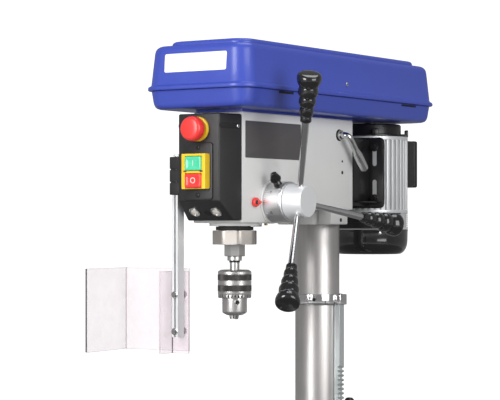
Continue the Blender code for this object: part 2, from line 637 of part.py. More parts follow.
# ---- belt drive and its cover ----
def cover_ring(half_inset, z, radius):
    """One level of the cover's outline, drawn in from the rim by an inset."""
    half = COVER_HALF - half_inset
    outline = rounded(-half, half, -COVER_FRONT + half_inset, COVER_BACK - half_inset, radius, 5)
    return [(x, y, z) for x, y in outline]


def build_cover():
    wall = COVER_WALL
    foot = RIM_STEP + TRAY_DRAFT
    outer = [
        cover_ring(foot + 0.009, TRAY_Z, COVER_CORNER - foot), cover_ring(foot + 0.003, TRAY_Z + 0.003,
                                                                          COVER_CORNER - foot),
        cover_ring(foot - 0.001, TRAY_Z + 0.010, COVER_CORNER - foot), cover_ring(RIM_STEP, RIM_Z - GAP,
                                                                                  COVER_CORNER - RIM_STEP),
    ]
    inner = [
        cover_ring(RIM_STEP + wall, RIM_Z - GAP, COVER_CORNER - RIM_STEP - wall),
        cover_ring(foot + wall, TRAY_Z + 0.010, COVER_CORNER - foot - wall),
        cover_ring(foot + 0.010, TRAY_Z + wall, COVER_CORNER - foot - wall),
    ]
    tray = piece("belt_tray", lofted(outer + inner), BLUE)
    post_top = TRAY_Z + wall + 0.004 + 5 * STEP_HEIGHT
    post = [(0, TRAY_Z + 0.001), (0.016, TRAY_Z + 0.001), (0.016, TRAY_Z + wall + 0.003),
            (0.008, TRAY_Z + wall + 0.003), (0.008, post_top), (0, post_top)]
    feet = piece("belt_tray_post", turned(post, SMALL_ROUND),
                 at=(0, IDLER_Y, 0))
    saddle = piece("belt_tray_saddle", block((-HEAD_FRONT_HALF + 0.004, HEAD_FRONT_Y + 0.004, HEAD_TOP + GAP),
                                             (HEAD_FRONT_HALF - 0.004, HEAD_BACK_Y - 0.002, TRAY_Z + 0.001)))
    join(tray, feet, saddle)
    spindle_hole = cylinder(0.024, HEAD_TOP - 0.01, TRAY_Z + 0.02, ROUND)
    motor_way = slot(0.030 + MOTOR_SLIDE + 0.004, 0.030, TRAY_Z - 0.01, TRAY_Z + 0.02)
    cut(tray, piece("belt_tray_spindle_hole", spindle_hole, at=(0, SPINDLE_Y, 0)),
        piece("belt_tray_motor_way", motor_way, at=(0, MOTOR_Y - MOTOR_SLIDE / 2, 0)))

    rim_top = RIM_Z + RIM_HEIGHT
    top = rim_top + LID_HEIGHT
    shoulder = RIM_STEP + LID_DRAFT
    radius = COVER_CORNER - RIM_STEP
    outer = [
        cover_ring(RIM_STEP + wall, RIM_Z, radius - wall), cover_ring(0.001, RIM_Z, COVER_CORNER),
        cover_ring(0, RIM_Z + 0.002, COVER_CORNER), cover_ring(0, rim_top - 0.003, COVER_CORNER),
        cover_ring(RIM_STEP, rim_top, radius), cover_ring(shoulder, top - LID_EDGE, radius - 0.002),
        cover_ring(shoulder + 0.004, top - LID_EDGE * 0.35, radius - 0.006),
        cover_ring(shoulder + LID_EDGE, top, radius - 0.012),
    ]
    inner = [
        cover_ring(shoulder + LID_EDGE, top - wall, radius - 0.012),
        cover_ring(shoulder + 0.0065, top - LID_EDGE * 0.5, radius - 0.008),
        cover_ring(shoulder + wall, top - LID_EDGE - 0.002, radius - 0.005),
        cover_ring(RIM_STEP + wall, rim_top, radius - wall),
    ]
    bm = lofted(outer + inner)
    doomed = [face for face in bm.faces if len(face.verts) > 4 and face.calc_center_median().z < top - wall * 1.5]
    bmesh.ops.delete(bm, geom=doomed, context="FACES_ONLY")
    open_edges = [edge for edge in bm.edges if edge.is_boundary]
    bmesh.ops.bridge_loops(bm, edges=open_edges)
    lid = piece("belt_lid", bm, BLUE)
    pad = prism(rounded(-0.052, COVER_HALF - shoulder - 0.007, -COVER_FRONT + shoulder + 0.010, 0.212, 0.030, 5),
                top - 0.001, top + PAD_HEIGHT)
    join(lid, piece("belt_lid_pad", pad))
    carry("lid_axis", (-COVER_HALF, 0, RIM_Z), lid)


def step_heights(base):
    return [base + step * STEP_HEIGHT for step in range(4)]


PULLEY_BASE = TRAY_Z + COVER_WALL + 0.005


def stepped_pulley(radii, bore, hub_low, hub_r):
    """A turned pulley of four grooved steps, bored through, with a hub below."""
    profile = [(bore, PULLEY_BASE + 4 * STEP_HEIGHT), (bore, hub_low), (hub_r, hub_low), (hub_r, PULLEY_BASE)]
    for radius, low in zip(radii, step_heights(PULLEY_BASE)):
        middle = low + STEP_HEIGHT / 2
        profile += [(radius, low), (radius, middle - 0.0050), (radius - GROOVE_DEPTH, middle - 0.0030),
                    (radius - GROOVE_DEPTH, middle + 0.0030), (radius, middle + 0.0050),
                    (radius, low + STEP_HEIGHT)]
    return turned(profile, PULLEY_ROUND, hollow=True)


def belt(name, first, second, level):
    """A closed V belt round two pulleys given as (y, radius), lying in one step's grooves."""
    (near_y, near_r), (far_y, far_r) = first, second
    lean = math.asin((near_r - far_r) / (far_y - near_y))
    middle = PULLEY_BASE + (level + 0.5) * STEP_HEIGHT
    steps = 14
    path = []
    for centre, radius, start, sweep in (
        (far_y, far_r, lean, math.pi - 2 * lean), (near_y, near_r, math.pi - lean, math.pi + 2 * lean),
    ):
        for step in range(steps + 1):
            angle = start + sweep * step / steps
            path.append((centre, radius, angle))
    section = ((-0.0005, 0.0042), (-0.0005, -0.0042), (-0.0005 - BELT_DEPTH, -0.0028),
               (-0.0005 - BELT_DEPTH, 0.0028))
    bm = bmesh.new()
    loops = []
    for centre, radius, angle in path:
        loops.append([bm.verts.new(((radius + out) * math.cos(angle), centre + (radius + out) * math.sin(angle),
                                    middle + up))
                      for out, up in section])
    for here in range(len(loops)):
        near, far = loops[here], loops[(here + 1) % len(loops)]
        for corner in range(4):
            after = (corner + 1) % 4
            bm.faces.new((near[corner], far[corner], far[after], near[after]))
    return piece(name, bm, RUBBER)


def build_drive():
    spindle_steps = [SPINDLE_PULLEY_R - PULLEY_STEP * step for step in range(4)]
    idler_steps = [IDLER_PULLEY_R + PULLEY_STEP * step for step in range(4)]
    motor_steps = [MOTOR_PULLEY_R - PULLEY_STEP * step for step in range(4)]
    bush = BORE_R - 2 * GAP
    hub_low = QUILL_TOP + 0.004
    spindle = piece("spindle_pulley", stepped_pulley(spindle_steps, SPINDLE_R + GAP, HEAD_TOP - 0.001, 0.022),
                    ALUMINIUM,
                    (0, SPINDLE_Y, 0))
    sleeve = ring(SPINDLE_R + GAP, bush, hub_low, HEAD_TOP - 0.0005, ROUND)
    join(spindle, piece("spindle_pulley_bush", sleeve, at=(0, SPINDLE_Y, 0)))
    carry("spindle_pulley_axis", (0, SPINDLE_Y, PULLEY_BASE), spindle)
    idler = piece("idler_pulley", stepped_pulley(idler_steps, 0.008 + GAP, PULLEY_BASE - 0.0017, 0.014), ALUMINIUM,
                  (0, IDLER_Y, 0))
    carry("idler_axis", (0, IDLER_Y, PULLEY_BASE), idler)
    belt("spindle_belt", (SPINDLE_Y, spindle_steps[1]), (IDLER_Y, idler_steps[1]), 1)
    belt("motor_belt", (IDLER_Y, idler_steps[2]), (MOTOR_Y, motor_steps[2]), 2)
    return motor_steps


# ---- spindle, quill and chuck ----
def build_spindle():
    lip_top = COLLAR_BASE + 0.0055
    bearing_r = 0.0222
    seat_top = lip_top + 0.0170
    quill = turned([(bearing_r + GAP, lip_top + GAP), (QUILL_R, lip_top + GAP), (QUILL_R, QUILL_TOP),
                    (QUILL_BORE_R, QUILL_TOP),
                    (QUILL_BORE_R, seat_top), (bearing_r + GAP, seat_top)], ROUND, hollow=True)
    quill = piece("quill", quill, STEEL, (0, SPINDLE_Y, 0))
    pitch = math.tau * PINION_PITCH_R / PINION_TEETH
    pitch_y = FEED_Y - PINION_PITCH_R
    outline = [(QUILL_R + 0.01, FEED_SHAFT_Z - 1.5 * PINION_OUTER_R)]
    root = pitch_y - (PINION_OUTER_R - PINION_PITCH_R) - 2 * GAP
    crest = pitch_y + (PINION_PITCH_R - PINION_ROOT_R) - 2 * GAP
    outline.append((crest, FEED_SHAFT_Z - 1.5 * PINION_OUTER_R))
    teeth = math.ceil((QUILL_TRAVEL + 3 * PINION_OUTER_R) / pitch)
    for tooth in range(-3, teeth - 3):
        middle = FEED_SHAFT_Z + tooth * pitch
        outline += [(crest, middle - pitch * 0.42), (root, middle - pitch * 0.26), (root, middle + pitch * 0.26),
                    (crest, middle + pitch * 0.42)]
    last = FEED_SHAFT_Z + (teeth - 3.4) * pitch
    outline += [(crest, last), (QUILL_R + 0.01, last)]
    cut(quill, piece("quill_rack_cut", prism(outline, -0.0145, 0.0145, "X"), at=(0, SPINDLE_Y, 0)))

    flat = QUILL_COLLAR_R
    collar = turned([(0, COLLAR_BASE), (flat - 0.001, COLLAR_BASE), (flat, COLLAR_BASE + 0.001),
                     (flat, COLLAR_TOP - 0.001),
                     (flat - 0.001, COLLAR_TOP), (0, COLLAR_TOP)], 8)
    collar = piece("quill_collar", collar, STEEL, (0, SPINDLE_Y, 0))
    collar_bore = turned([(0, COLLAR_BASE - 0.01), (NOSE_R + 0.0012, COLLAR_BASE - 0.01),
                          (NOSE_R + 0.0012, lip_top),
                          (QUILL_R + GAP, lip_top), (QUILL_R + GAP, COLLAR_TOP + 0.01), (0, COLLAR_TOP + 0.01)])
    cut(collar, piece("quill_collar_bore", collar_bore, at=(0, SPINDLE_Y, 0)))
    bumper = piece("quill_bumper",
                   ring(QUILL_R + GAP, QUILL_R + 0.0045, COLLAR_TOP + GAP, COLLAR_TOP + BUMPER_HEIGHT),
                   RUBBER, (0, SPINDLE_Y, 0))
    bearing = piece("spindle_bearing", ring(SPINDLE_R + GAP, bearing_r, lip_top + 0.0015, seat_top - GAP), STEEL,
                    (0, SPINDLE_Y, 0))

    chuck_top = COLLAR_BASE - 0.0427
    taper = 0.0075
    shaft_top = PULLEY_BASE + 4 * STEP_HEIGHT + 0.022
    spindle = turned([(0, chuck_top - 0.020), (taper, chuck_top - 0.020), (taper + 0.0007, chuck_top + 0.0020),
                      (0.0155, chuck_top + 0.0020 + 0.011), (0.0155, COLLAR_BASE - 0.0272),
                      (NOSE_R, COLLAR_BASE - 0.0219),
                      (NOSE_R, lip_top + 0.0009), (SPINDLE_R, lip_top + 0.0012), (SPINDLE_R, shaft_top),
                      (0, shaft_top)])
    spindle = piece("spindle", spindle, STEEL, (0, SPINDLE_Y, 0))

    low = chuck_top - CHUCK_SLEEVE_HEIGHT
    nose = low - CHUCK_BODY_DROP
    tip = nose - JAW_DROP
    body = turned([(0, nose), (0.0135, nose), (CHUCK_BODY_R, nose + 0.009), (CHUCK_BODY_R, chuck_top - 0.001),
                   (0, chuck_top - 0.001)])
    body = piece("chuck_body", body, CHROME, (0, SPINDLE_Y, 0))
    socket = turned([(0, chuck_top - 0.021), (taper + GAP, chuck_top - 0.021),
                     (taper + 0.0007 + 1.5 * GAP, chuck_top + 0.003),
                     (0, chuck_top + 0.003)], ROUND)
    cut(body, piece("chuck_socket", socket, at=(0, SPINDLE_Y, 0)))
    sleeve = turned([(CHUCK_BODY_R + GAP, low), (CHUCK_SLEEVE_R - 0.002, low), (CHUCK_SLEEVE_R, low + 0.003),
                     (CHUCK_SLEEVE_R, chuck_top - 0.008), (CHUCK_BODY_R + 0.003, chuck_top),
                     (CHUCK_BODY_R + GAP, chuck_top),
                     (CHUCK_BODY_R + GAP, chuck_top - 0.008), (CHUCK_SLEEVE_R - 0.0028, chuck_top - 0.011),
                     (CHUCK_SLEEVE_R - 0.0028, low + 0.009), (CHUCK_BODY_R + GAP, low + 0.006)], ROUND, hollow=True)
    sleeve = piece("chuck_sleeve", sleeve, CHROME, (0, SPINDLE_Y, 0))
    carry("chuck_sleeve_axis", (0, SPINDLE_Y, low), sleeve)
    lean = math.atan(JAW_LEAN)
    for jaw in range(3):
        angle = math.radians(90 + 120 * jaw)
        out = Vector((math.cos(angle), math.sin(angle), 0))
        turn = Matrix.Rotation(angle, 4, "Z") @ Matrix.Rotation(lean, 4, "Y")
        start = Vector((0, SPINDLE_Y, tip)) + out * 0.0032
        key_hole = cylinder(0.0035, 0.012, 0.03, 8, "X")
        key = piece(f"chuck_key_hole_{jaw}", key_hole, at=(0, SPINDLE_Y, nose + 0.017))
        key.rotation_euler = (0, 0, angle + math.radians(60))
        bore = cylinder(JAW_R + GAP, -0.01, JAW_LENGTH + 0.034, 12)
        bmesh.ops.transform(bore, matrix=turn, verts=bore.verts)
        cut(body, piece(f"chuck_jaw_bore_{jaw}", bore, at=start), key)
        rod = cylinder(JAW_R, 0.001, JAW_LENGTH, 12)
        bmesh.ops.transform(rod, matrix=turn, verts=rod.verts)
        made = piece(f"chuck_jaw_{jaw + 1}", rod, STEEL, start)
        wedge = prism([(0.0003, 0), (0.06, 0.1036), (0.06, -0.1036)], tip, tip + 0.06)
        wedge = piece(f"chuck_jaw_wedge_{jaw}", wedge, at=(0, SPINDLE_Y, 0))
        wedge.rotation_euler = (0, 0, angle)
        boolean(made, "INTERSECT", [wedge])
    carry("quill_axis", (0, SPINDLE_Y, COLLAR_BASE), quill, collar, bumper, bearing)
    carry("spindle_axis", (0, SPINDLE_Y, nose), spindle, body)


# ---- feed ----
def gear_outline(phase):
    outline = []
    pitch = math.tau / PINION_TEETH
    for tooth in range(PINION_TEETH):
        middle = phase + tooth * pitch
        for radius, share in ((PINION_ROOT_R, -0.34), (PINION_OUTER_R, -0.12), (PINION_OUTER_R, 0.12),
                              (PINION_ROOT_R, 0.34)):
            angle = middle + share * pitch
            outline.append((radius * math.cos(angle), radius * math.sin(angle)))
    return outline


def build_feed():
    y, z = FEED_SHAFT_Y, FEED_SHAFT_Z
    side = half_width(y)
    collar_low = side + FEED_BOSS_PROUD + 2 * GAP
    collar_high = collar_low + DEPTH_COLLAR_LENGTH
    hub_high = collar_high + GAP + HUB_LENGTH
    shaft_end = hub_high - 0.008
    shaft = cylinder(FEED_SHAFT_R, -side - 0.028, shaft_end, SMALL_ROUND, "X")
    shaft = piece("pinion_shaft", shaft, STEEL, (0, y, z))
    join(shaft, piece("pinion_teeth", prism(gear_outline(math.pi), -0.0125, 0.0125, "X"), at=(0, y, z)))
    hub = turned([(FEED_SHAFT_R + GAP, collar_low), (0.019, collar_low), (0.019, collar_high + GAP),
                  (HUB_NEAR_R, collar_high + GAP),
                  (HUB_R, hub_high - 0.001), (HUB_R - 0.001, hub_high), (0, hub_high), (0, shaft_end + GAP),
                  (FEED_SHAFT_R + GAP, shaft_end + GAP)], ROUND, "X", True)
    hub = piece("feed_hub", hub, ALUMINIUM, (0, y, z))
    root_x = hub_high - HUB_LENGTH * 0.547
    held = []
    for handle in range(3):
        angle = HANDLE_START + handle * math.radians(120)
        along = Vector((math.sin(HANDLE_LEAN), math.cos(HANDLE_LEAN) * math.cos(angle),
                        math.cos(HANDLE_LEAN) * math.sin(angle)))
        turn = along.to_track_quat("Z", "Y").to_matrix().to_4x4()
        start = (root_x, y, z)
        grip_start = HANDLE_LENGTH - GRIP_LENGTH
        bore = cylinder(ROD_R + GAP, HUB_R * 0.55 - GAP, HUB_R * 2, 12)
        bmesh.ops.transform(bore, matrix=turn, verts=bore.verts)
        cut(hub, piece(f"feed_hub_bore_{handle}", bore, at=start))
        rod = cylinder(ROD_R, HUB_R * 0.55, grip_start + 0.022, 12)
        bmesh.ops.transform(rod, matrix=turn, verts=rod.verts)
        rod = piece(f"feed_rod_{handle + 1}", rod, CHROME, start)
        bore_end = grip_start + 0.022 + GAP
        profile = [(0, bore_end), (ROD_R + GAP, bore_end), (ROD_R + GAP, grip_start), (0.0090, grip_start)]
        for rib, radius in enumerate((0.0120, 0.0150, 0.0178, GRIP_R)):
            low = grip_start + 0.004 + rib * 0.0195
            profile += [(radius - 0.002, low + 0.004), (radius, low + 0.010), (radius - 0.003, low + 0.017)]
        profile += [(GRIP_R * 0.7, HANDLE_LENGTH - 0.0015), (0, HANDLE_LENGTH)]
        grip = turned(profile, 12)
        bmesh.ops.transform(grip, matrix=turn, verts=grip.verts)
        held += [rod, piece(f"feed_grip_{handle + 1}", grip, BLACK_PLASTIC, start)]
    carry("feed_axis", (0, y, z), shaft, hub, *held)

    collar = turned([(0.019 + GAP, collar_low), (DEPTH_COLLAR_R, collar_low), (DEPTH_COLLAR_R, collar_high - 0.001),
                     (DEPTH_COLLAR_R - 0.001, collar_high), (0.019 + GAP, collar_high)], ROUND, "X", True)
    collar = piece("depth_collar", collar, ALUMINIUM, (0, y, z))
    knob_x = collar_low + DEPTH_COLLAR_LENGTH * 0.66
    knob_turn = Matrix.Rotation(KNOB_LEAN, 4, "X")
    screw_bore = cylinder(0.004 + GAP, 0.022, 0.05, 12)
    bmesh.ops.transform(screw_bore, matrix=knob_turn, verts=screw_bore.verts)
    cut(collar, piece("depth_collar_screw_bore", screw_bore, at=(knob_x, y, z)))
    knob = turned([(0, 0.0235), (0.004, 0.0235), (0.004, 0.0355), (0.0075, 0.0355), (0.0075, 0.042), (0, 0.042)],
                  12)
    bmesh.ops.transform(knob, matrix=knob_turn, verts=knob.verts)
    knob = piece("depth_lock_knob", knob, BLACK_PLASTIC, (knob_x, y, z))
    wing = prism([(-0.004, 0.039), (0.004, 0.039), (0.009, 0.047), (0.005, 0.0605), (-0.005, 0.0605),
                  (-0.009, 0.047)],
                 -0.0035, 0.0035, "Y")
    bmesh.ops.transform(wing, matrix=knob_turn @ Matrix.Rotation(math.radians(35), 4, "Z"), verts=wing.verts)
    join(knob, piece("depth_lock_wing", wing, at=(knob_x, y, z)))
    carry("depth_collar_axis", (knob_x, y, z), collar, knob)

    pointer_x = half_width(y - FEED_BOSS_R)
    pointer = prism([(0.0065 * math.cos(a),
                      0.0065 * math.sin(a)) for a in (math.radians(60 + 30 * n) for n in range(9))]
                    + [(0.017, 0)], pointer_x + GAP, pointer_x + 0.006, "X")
    piece("depth_pointer", pointer, RED, (0, y - FEED_BOSS_R - 0.0175, z - 0.001))

    left = -side - FEED_BOSS_PROUD - GAP
    depth = 0.032
    cup = turned([(FEED_SHAFT_R + GAP, left), (0.036, left), (0.036, left - 0.022), (0.031, left - depth),
                  (0, left - depth),
                  (0, left - depth + 0.0025), (0.028, left - depth + 0.0025), (0.033, left - 0.021),
                  (0.033, left - 0.003),
                  (FEED_SHAFT_R + GAP, left - 0.003)], ROUND, "X", True)
    piece("spring_housing", cup, BLACK_PAINT, (0, y, z))
    turns, per_turn = 3, 14
    outer, inner = [], []
    for step in range(turns * per_turn + 1):
        angle = math.tau * step / per_turn
        radius = 0.0115 + 0.0065 * step / per_turn
        outer.append(((radius + 0.0008) * math.cos(angle), (radius + 0.0008) * math.sin(angle)))
        inner.append(((radius - 0.0008) * math.cos(angle), (radius - 0.0008) * math.sin(angle)))
    hook = [(FEED_SHAFT_R + 2 * GAP, 0.0008), (FEED_SHAFT_R + 2 * GAP, -0.0008)]
    spiral = prism(outer + inner[::-1] + hook[::-1], left - 0.018, left - 0.006, "X")
    piece("return_spring", spiral, STEEL, (0, y, z))


# ---- motor ----
def build_motor():
    low = HEAD_Z + MOTOR_Z
    high = low + MOTOR_LENGTH
    outline = []
    for fin in range(MOTOR_FINS):
        for radius, share in ((MOTOR_R - FIN_DEPTH, -0.35), (MOTOR_R, -0.2), (MOTOR_R, 0.2),
                              (MOTOR_R - FIN_DEPTH, 0.35)):
            angle = math.tau * (fin + share) / MOTOR_FINS
            outline.append((radius * math.cos(angle), radius * math.sin(angle)))
    at = (0, MOTOR_Y, 0)
    body = piece("motor_body", prism(outline, low, high), ALUMINIUM, at)
    vent = cylinder(MOTOR_R + 0.001, low - VENT_RING, low + 0.001, ROUND)
    foot_y = PLATE_Y + PLATE_THICKNESS + GAP
    feet = block((-0.048, foot_y, low + 0.015), (0.048, MOTOR_Y - MOTOR_R * 0.6, high - 0.020))
    join(body, piece("motor_vent_ring", vent, at=at), piece("motor_feet", feet))
    bore = cylinder(0.0105, high - 0.05, high + 0.01, SMALL_ROUND)
    cut(body, piece("motor_body_bore", bore, at=at))

    cap_low = low - VENT_RING - GAP
    bottom = turned([(0, cap_low - MOTOR_CAP_LOW), (MOTOR_R * 0.75, cap_low - MOTOR_CAP_LOW),
                     (MOTOR_R * 0.93, cap_low - MOTOR_CAP_LOW * 0.88), (MOTOR_R, cap_low - MOTOR_CAP_LOW * 0.62),
                     (MOTOR_R + 0.0005, cap_low), (0, cap_low)])
    bottom = piece("motor_bottom_cap", bottom, BLACK_PLASTIC, at)
    top = ring(0.0105, MOTOR_CAP_R, high + GAP, high + MOTOR_CAP_HIGH)
    top = piece("motor_top_cap", top, BLACK_PLASTIC, at)
    box_low, box_high = HEAD_Z + 0.072, HEAD_Z + 0.160
    box = piece("terminal_box",
                block((-BOX_HALF, MOTOR_Y + MOTOR_R * 0.5, box_low), (BOX_HALF, COVER_BACK + BOX_PROUD, box_high)),
                BLACK_PLASTIC)
    clear_r = MOTOR_R + 2 * GAP
    cut(box, piece("terminal_box_seat", cylinder(clear_r, box_low - 0.01, box_high + 0.01, MOTOR_FINS * 2), at=at))

    plate_low, plate_high = HEAD_Z + 0.030, HEAD_Z + 0.160
    plate = prism(rounded(-PLATE_HALF, PLATE_HALF, plate_low, plate_high, 0.010, 3), PLATE_Y,
                  PLATE_Y + PLATE_THICKNESS, "Y")
    plate = piece("motor_plate", plate, BLACK_PAINT)
    for side in (-1, 1):
        arm = block((side * 0.048 - 0.0015, HEAD_BACK_Y + MOTOR_SLIDE + 0.004, plate_low + 0.004),
                    (side * 0.048 + 0.0015, PLATE_Y + 0.001, plate_high - 0.004))
        join(plate, piece(f"motor_plate_arm_{side}", arm))
        for height in (plate_low + 0.033, plate_high - 0.033):
            way = prism(rounded(-0.004, 0.004, -0.015, 0.015, 0.0039, 4), PLATE_Y - 0.01, PLATE_Y + 0.02, "Y")
            cut(plate, piece(f"motor_plate_slot_{side}_{height:.3f}", way, at=(side * 0.062, 0, height)))
    bars = []
    for name, side in (("slide_bar_left", -1), ("slide_bar_right", 1)):
        bar = cylinder(BAR_R, LEVER_Y, PLATE_Y - GAP, SMALL_ROUND, "Y")
        bars.append(piece(name, bar, STEEL, (side * BAR_X, 0, HEAD_Z + BAR_Z)))
    carry("motor_slide_axis", at, body, bottom, top, box, plate, *bars)
    return high


def build_motor_pulley(motor_steps, motor_high):
    bm = stepped_pulley(motor_steps, 0.003, PULLEY_BASE - 0.001, 0.012)
    pulley = piece("motor_pulley", bm, ALUMINIUM, (0, MOTOR_Y, 0))
    join(pulley,
         piece("motor_shaft", cylinder(0.010, motor_high - 0.045, PULLEY_BASE + 0.004, SMALL_ROUND),
               at=(0, MOTOR_Y, 0)))
    carry("motor_axis", (0, MOTOR_Y, PULLEY_BASE), pulley)


def build_lever():
    """The tension lever's shaft crosses the casting, bends outside it and hangs back and down."""
    z = HEAD_Z + LEVER_Z
    reach = HEAD_BACK_HALF + 0.020
    bend = 0.008
    points = [(-HEAD_BACK_HALF + 0.010, LEVER_Y, z), (reach - bend, LEVER_Y, z),
              (reach - bend * 0.35, LEVER_Y + 0.002, z - 0.002),
              (reach, LEVER_Y + 0.007, z - 0.008), (reach, 0.035, HEAD_Z + 0.099)]
    curve = bpy.data.curves.new("tension_lever", "CURVE")
    curve.dimensions = "3D"
    curve.bevel_depth = LEVER_R
    curve.bevel_resolution = 2
    curve.use_fill_caps = True
    spline = curve.splines.new("POLY")
    spline.points.add(len(points) - 1)
    for point, place in zip(spline.points, points):
        point.co = (place[0], place[1] - LEVER_Y, place[2] - z, 1)
    curve.materials.append(CHROME)
    lever = bpy.data.objects.new("tension_lever", curve)
    lever.location = (0, LEVER_Y, z)
    bpy.context.scene.collection.objects.link(lever)


# ---- chuck guard ----
def build_guard():
    y = SPINDLE_Y - GUARD_Y
    low = HEAD_Z + BRACKET_Z
    high = low + BRACKET_HEIGHT
    front = PANEL_FACE
    flare = (HEAD_FRONT_HALF - PANEL_FRONT_HALF) / PANEL_REACH
    near = -(PANEL_FRONT_HALF + (y + 0.009 - front) * flare) - GAP
    bracket = piece("guard_bracket", block((GUARD_X - 0.0095, y - 0.0095, low), (near, y + 0.0095, high)),
                    BLACK_PLASTIC)
    bore = cylinder(0.0055 + GAP, low - 0.01, high + 0.01, SMALL_ROUND)
    cut(bracket, piece("guard_bracket_bore", bore, at=(GUARD_X, y, 0)))

    top = low - GAP
    bottom = top - RAIL_LENGTH
    rail = piece("guard_rail",
                 block((-RAIL_WIDTH / 2, -RAIL_DEPTH / 2, bottom), (RAIL_WIDTH / 2, RAIL_DEPTH / 2, top)),
                 ALUMINIUM, (GUARD_X, y, 0))
    groove = block((-0.0015, -RAIL_DEPTH, bottom - 0.01), (0.0015, -RAIL_DEPTH / 2 + 0.003, top - 0.01))
    pin = turned([(0, top - 0.002), (0.0055, top - 0.002), (0.0055, high + 0.001), (0.008, high + 0.001),
                  (0.008, high + 0.004),
                  (0, high + 0.004)], SMALL_ROUND)
    join(rail, piece("guard_pin", pin, at=(GUARD_X, y, 0)))
    cut(rail, piece("guard_rail_groove", groove, at=(GUARD_X, y, 0)))

    back = RAIL_DEPTH / 2 + GAP
    sheet_low = HEAD_Z - 0.217
    inner = prism([(-0.012, back), (0.018, back), (0.018, back + SHEET), (-0.012 - SHEET, back + SHEET),
                   (-0.012 - SHEET - 0.006, back - 0.045),
                   (-0.012 - 0.006, back - 0.045)], sheet_low, sheet_low + SHEET_HEIGHT)
    inner = piece("guard_inner_sheet", inner, CLEAR, (GUARD_X, y, 0))
    far = back + SHEET + GAP
    outer = prism([(0.013, far), (0.013, far + SHEET), (-GUARD_REACH, far + SHEET),
                   (-GUARD_REACH + 0.013, far - GUARD_WING),
                   (-GUARD_REACH + 0.013 + SHEET, far - GUARD_WING), (-GUARD_REACH + SHEET, far)],
                  sheet_low + 0.004, sheet_low + SHEET_HEIGHT + 0.001)
    outer = piece("guard_outer_sheet", outer, CLEAR, (GUARD_X, y, 0))
    swing = carry("guard_swing_axis", (GUARD_X, y, bottom), rail)
    for sheet in (inner, outer):
        sheet.parent = swing
        sheet.location = Vector(sheet.location) - swing.location


for leftover in list(bpy.data.objects):
    bpy.data.objects.remove(leftover)
SOCKET_TOP = build_base()
build_table(build_rack())
build_head(SOCKET_TOP)
build_panel()
build_cover()
STEPS = build_drive()
build_spindle()
build_feed()
build_motor_pulley(STEPS, build_motor())
build_lever()
build_guard()
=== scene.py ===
"""Bench drill press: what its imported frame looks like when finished, piece by piece, in metres."""

import json
import math

import bmesh
import bpy
from mathutils import Matrix, Vector


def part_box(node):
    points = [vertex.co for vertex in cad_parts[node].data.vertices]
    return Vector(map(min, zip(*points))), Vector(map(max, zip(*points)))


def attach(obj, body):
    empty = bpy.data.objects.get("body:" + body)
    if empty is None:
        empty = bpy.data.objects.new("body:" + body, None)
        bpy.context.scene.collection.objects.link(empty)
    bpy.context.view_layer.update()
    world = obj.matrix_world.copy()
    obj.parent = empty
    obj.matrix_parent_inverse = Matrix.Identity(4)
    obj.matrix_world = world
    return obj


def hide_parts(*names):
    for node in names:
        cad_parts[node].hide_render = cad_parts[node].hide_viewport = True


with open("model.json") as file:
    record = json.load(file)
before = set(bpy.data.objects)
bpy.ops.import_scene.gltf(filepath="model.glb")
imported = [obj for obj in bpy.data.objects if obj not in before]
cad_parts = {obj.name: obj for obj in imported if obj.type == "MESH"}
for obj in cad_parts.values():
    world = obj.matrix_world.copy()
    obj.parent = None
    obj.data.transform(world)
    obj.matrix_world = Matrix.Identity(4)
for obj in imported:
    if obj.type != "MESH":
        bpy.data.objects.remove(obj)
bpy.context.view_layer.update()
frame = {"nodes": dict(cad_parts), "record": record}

BODY_OF = {node: body for body, held in frame["record"]["behaviour"]["bodies"].items() for node in held}
SLOT_OF = {part["node"]: part["material_slot"] for part in frame["record"]["subparts"]}
SHOWN_AS_PACKED = set(frame["nodes"])

ROUND = 72                   # sides of a large turned piece
FINE = 36                    # sides of a small turned piece


def low(node):
    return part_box(node)[0]


def high(node):
    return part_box(node)[1]


def centre(node):
    lowest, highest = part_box(node)
    return (lowest + highest) / 2


SPINDLE = centre("quill")
FEED = centre("spring_housing")
MOTOR = centre("motor_top_cap")
HEAD_LOW = low("quill_bumper").z + 0.0086
PIVOT = {
    joint["name"]: joint["pos_m"] for joint in frame["record"]["behaviour"]["joints"] if "pos_m" in joint
}


# ---- materials ----
def noise(nodes, links, vector, scale, detail=3.0, roughness=0.55):
    made = nodes.new("ShaderNodeTexNoise")
    made.inputs["Scale"].default_value = scale
    made.inputs["Detail"].default_value = detail
    made.inputs["Roughness"].default_value = roughness
    links.new(vector, made.inputs["Vector"])
    return made.outputs["Fac"]


def ranged(nodes, links, value, least, most, start=0.3, end=0.7):
    made = nodes.new("ShaderNodeMapRange")
    made.inputs["From Min"].default_value = start
    made.inputs["From Max"].default_value = end
    made.inputs["To Min"].default_value = least
    made.inputs["To Max"].default_value = most
    links.new(value, made.inputs["Value"])
    return made.outputs["Result"]


def mixed(nodes, links, share, first, second):
    made = nodes.new("ShaderNodeMix")
    made.data_type = "RGBA"
    links.new(share, made.inputs["Factor"])
    made.inputs["A"].default_value = (*first, 1.0)
    made.inputs["B"].default_value = (*second, 1.0)
    return made.outputs["Result"]


def shaded(colour, by):
    return tuple(min(1.0, max(0.0, part * by)) for part in colour)


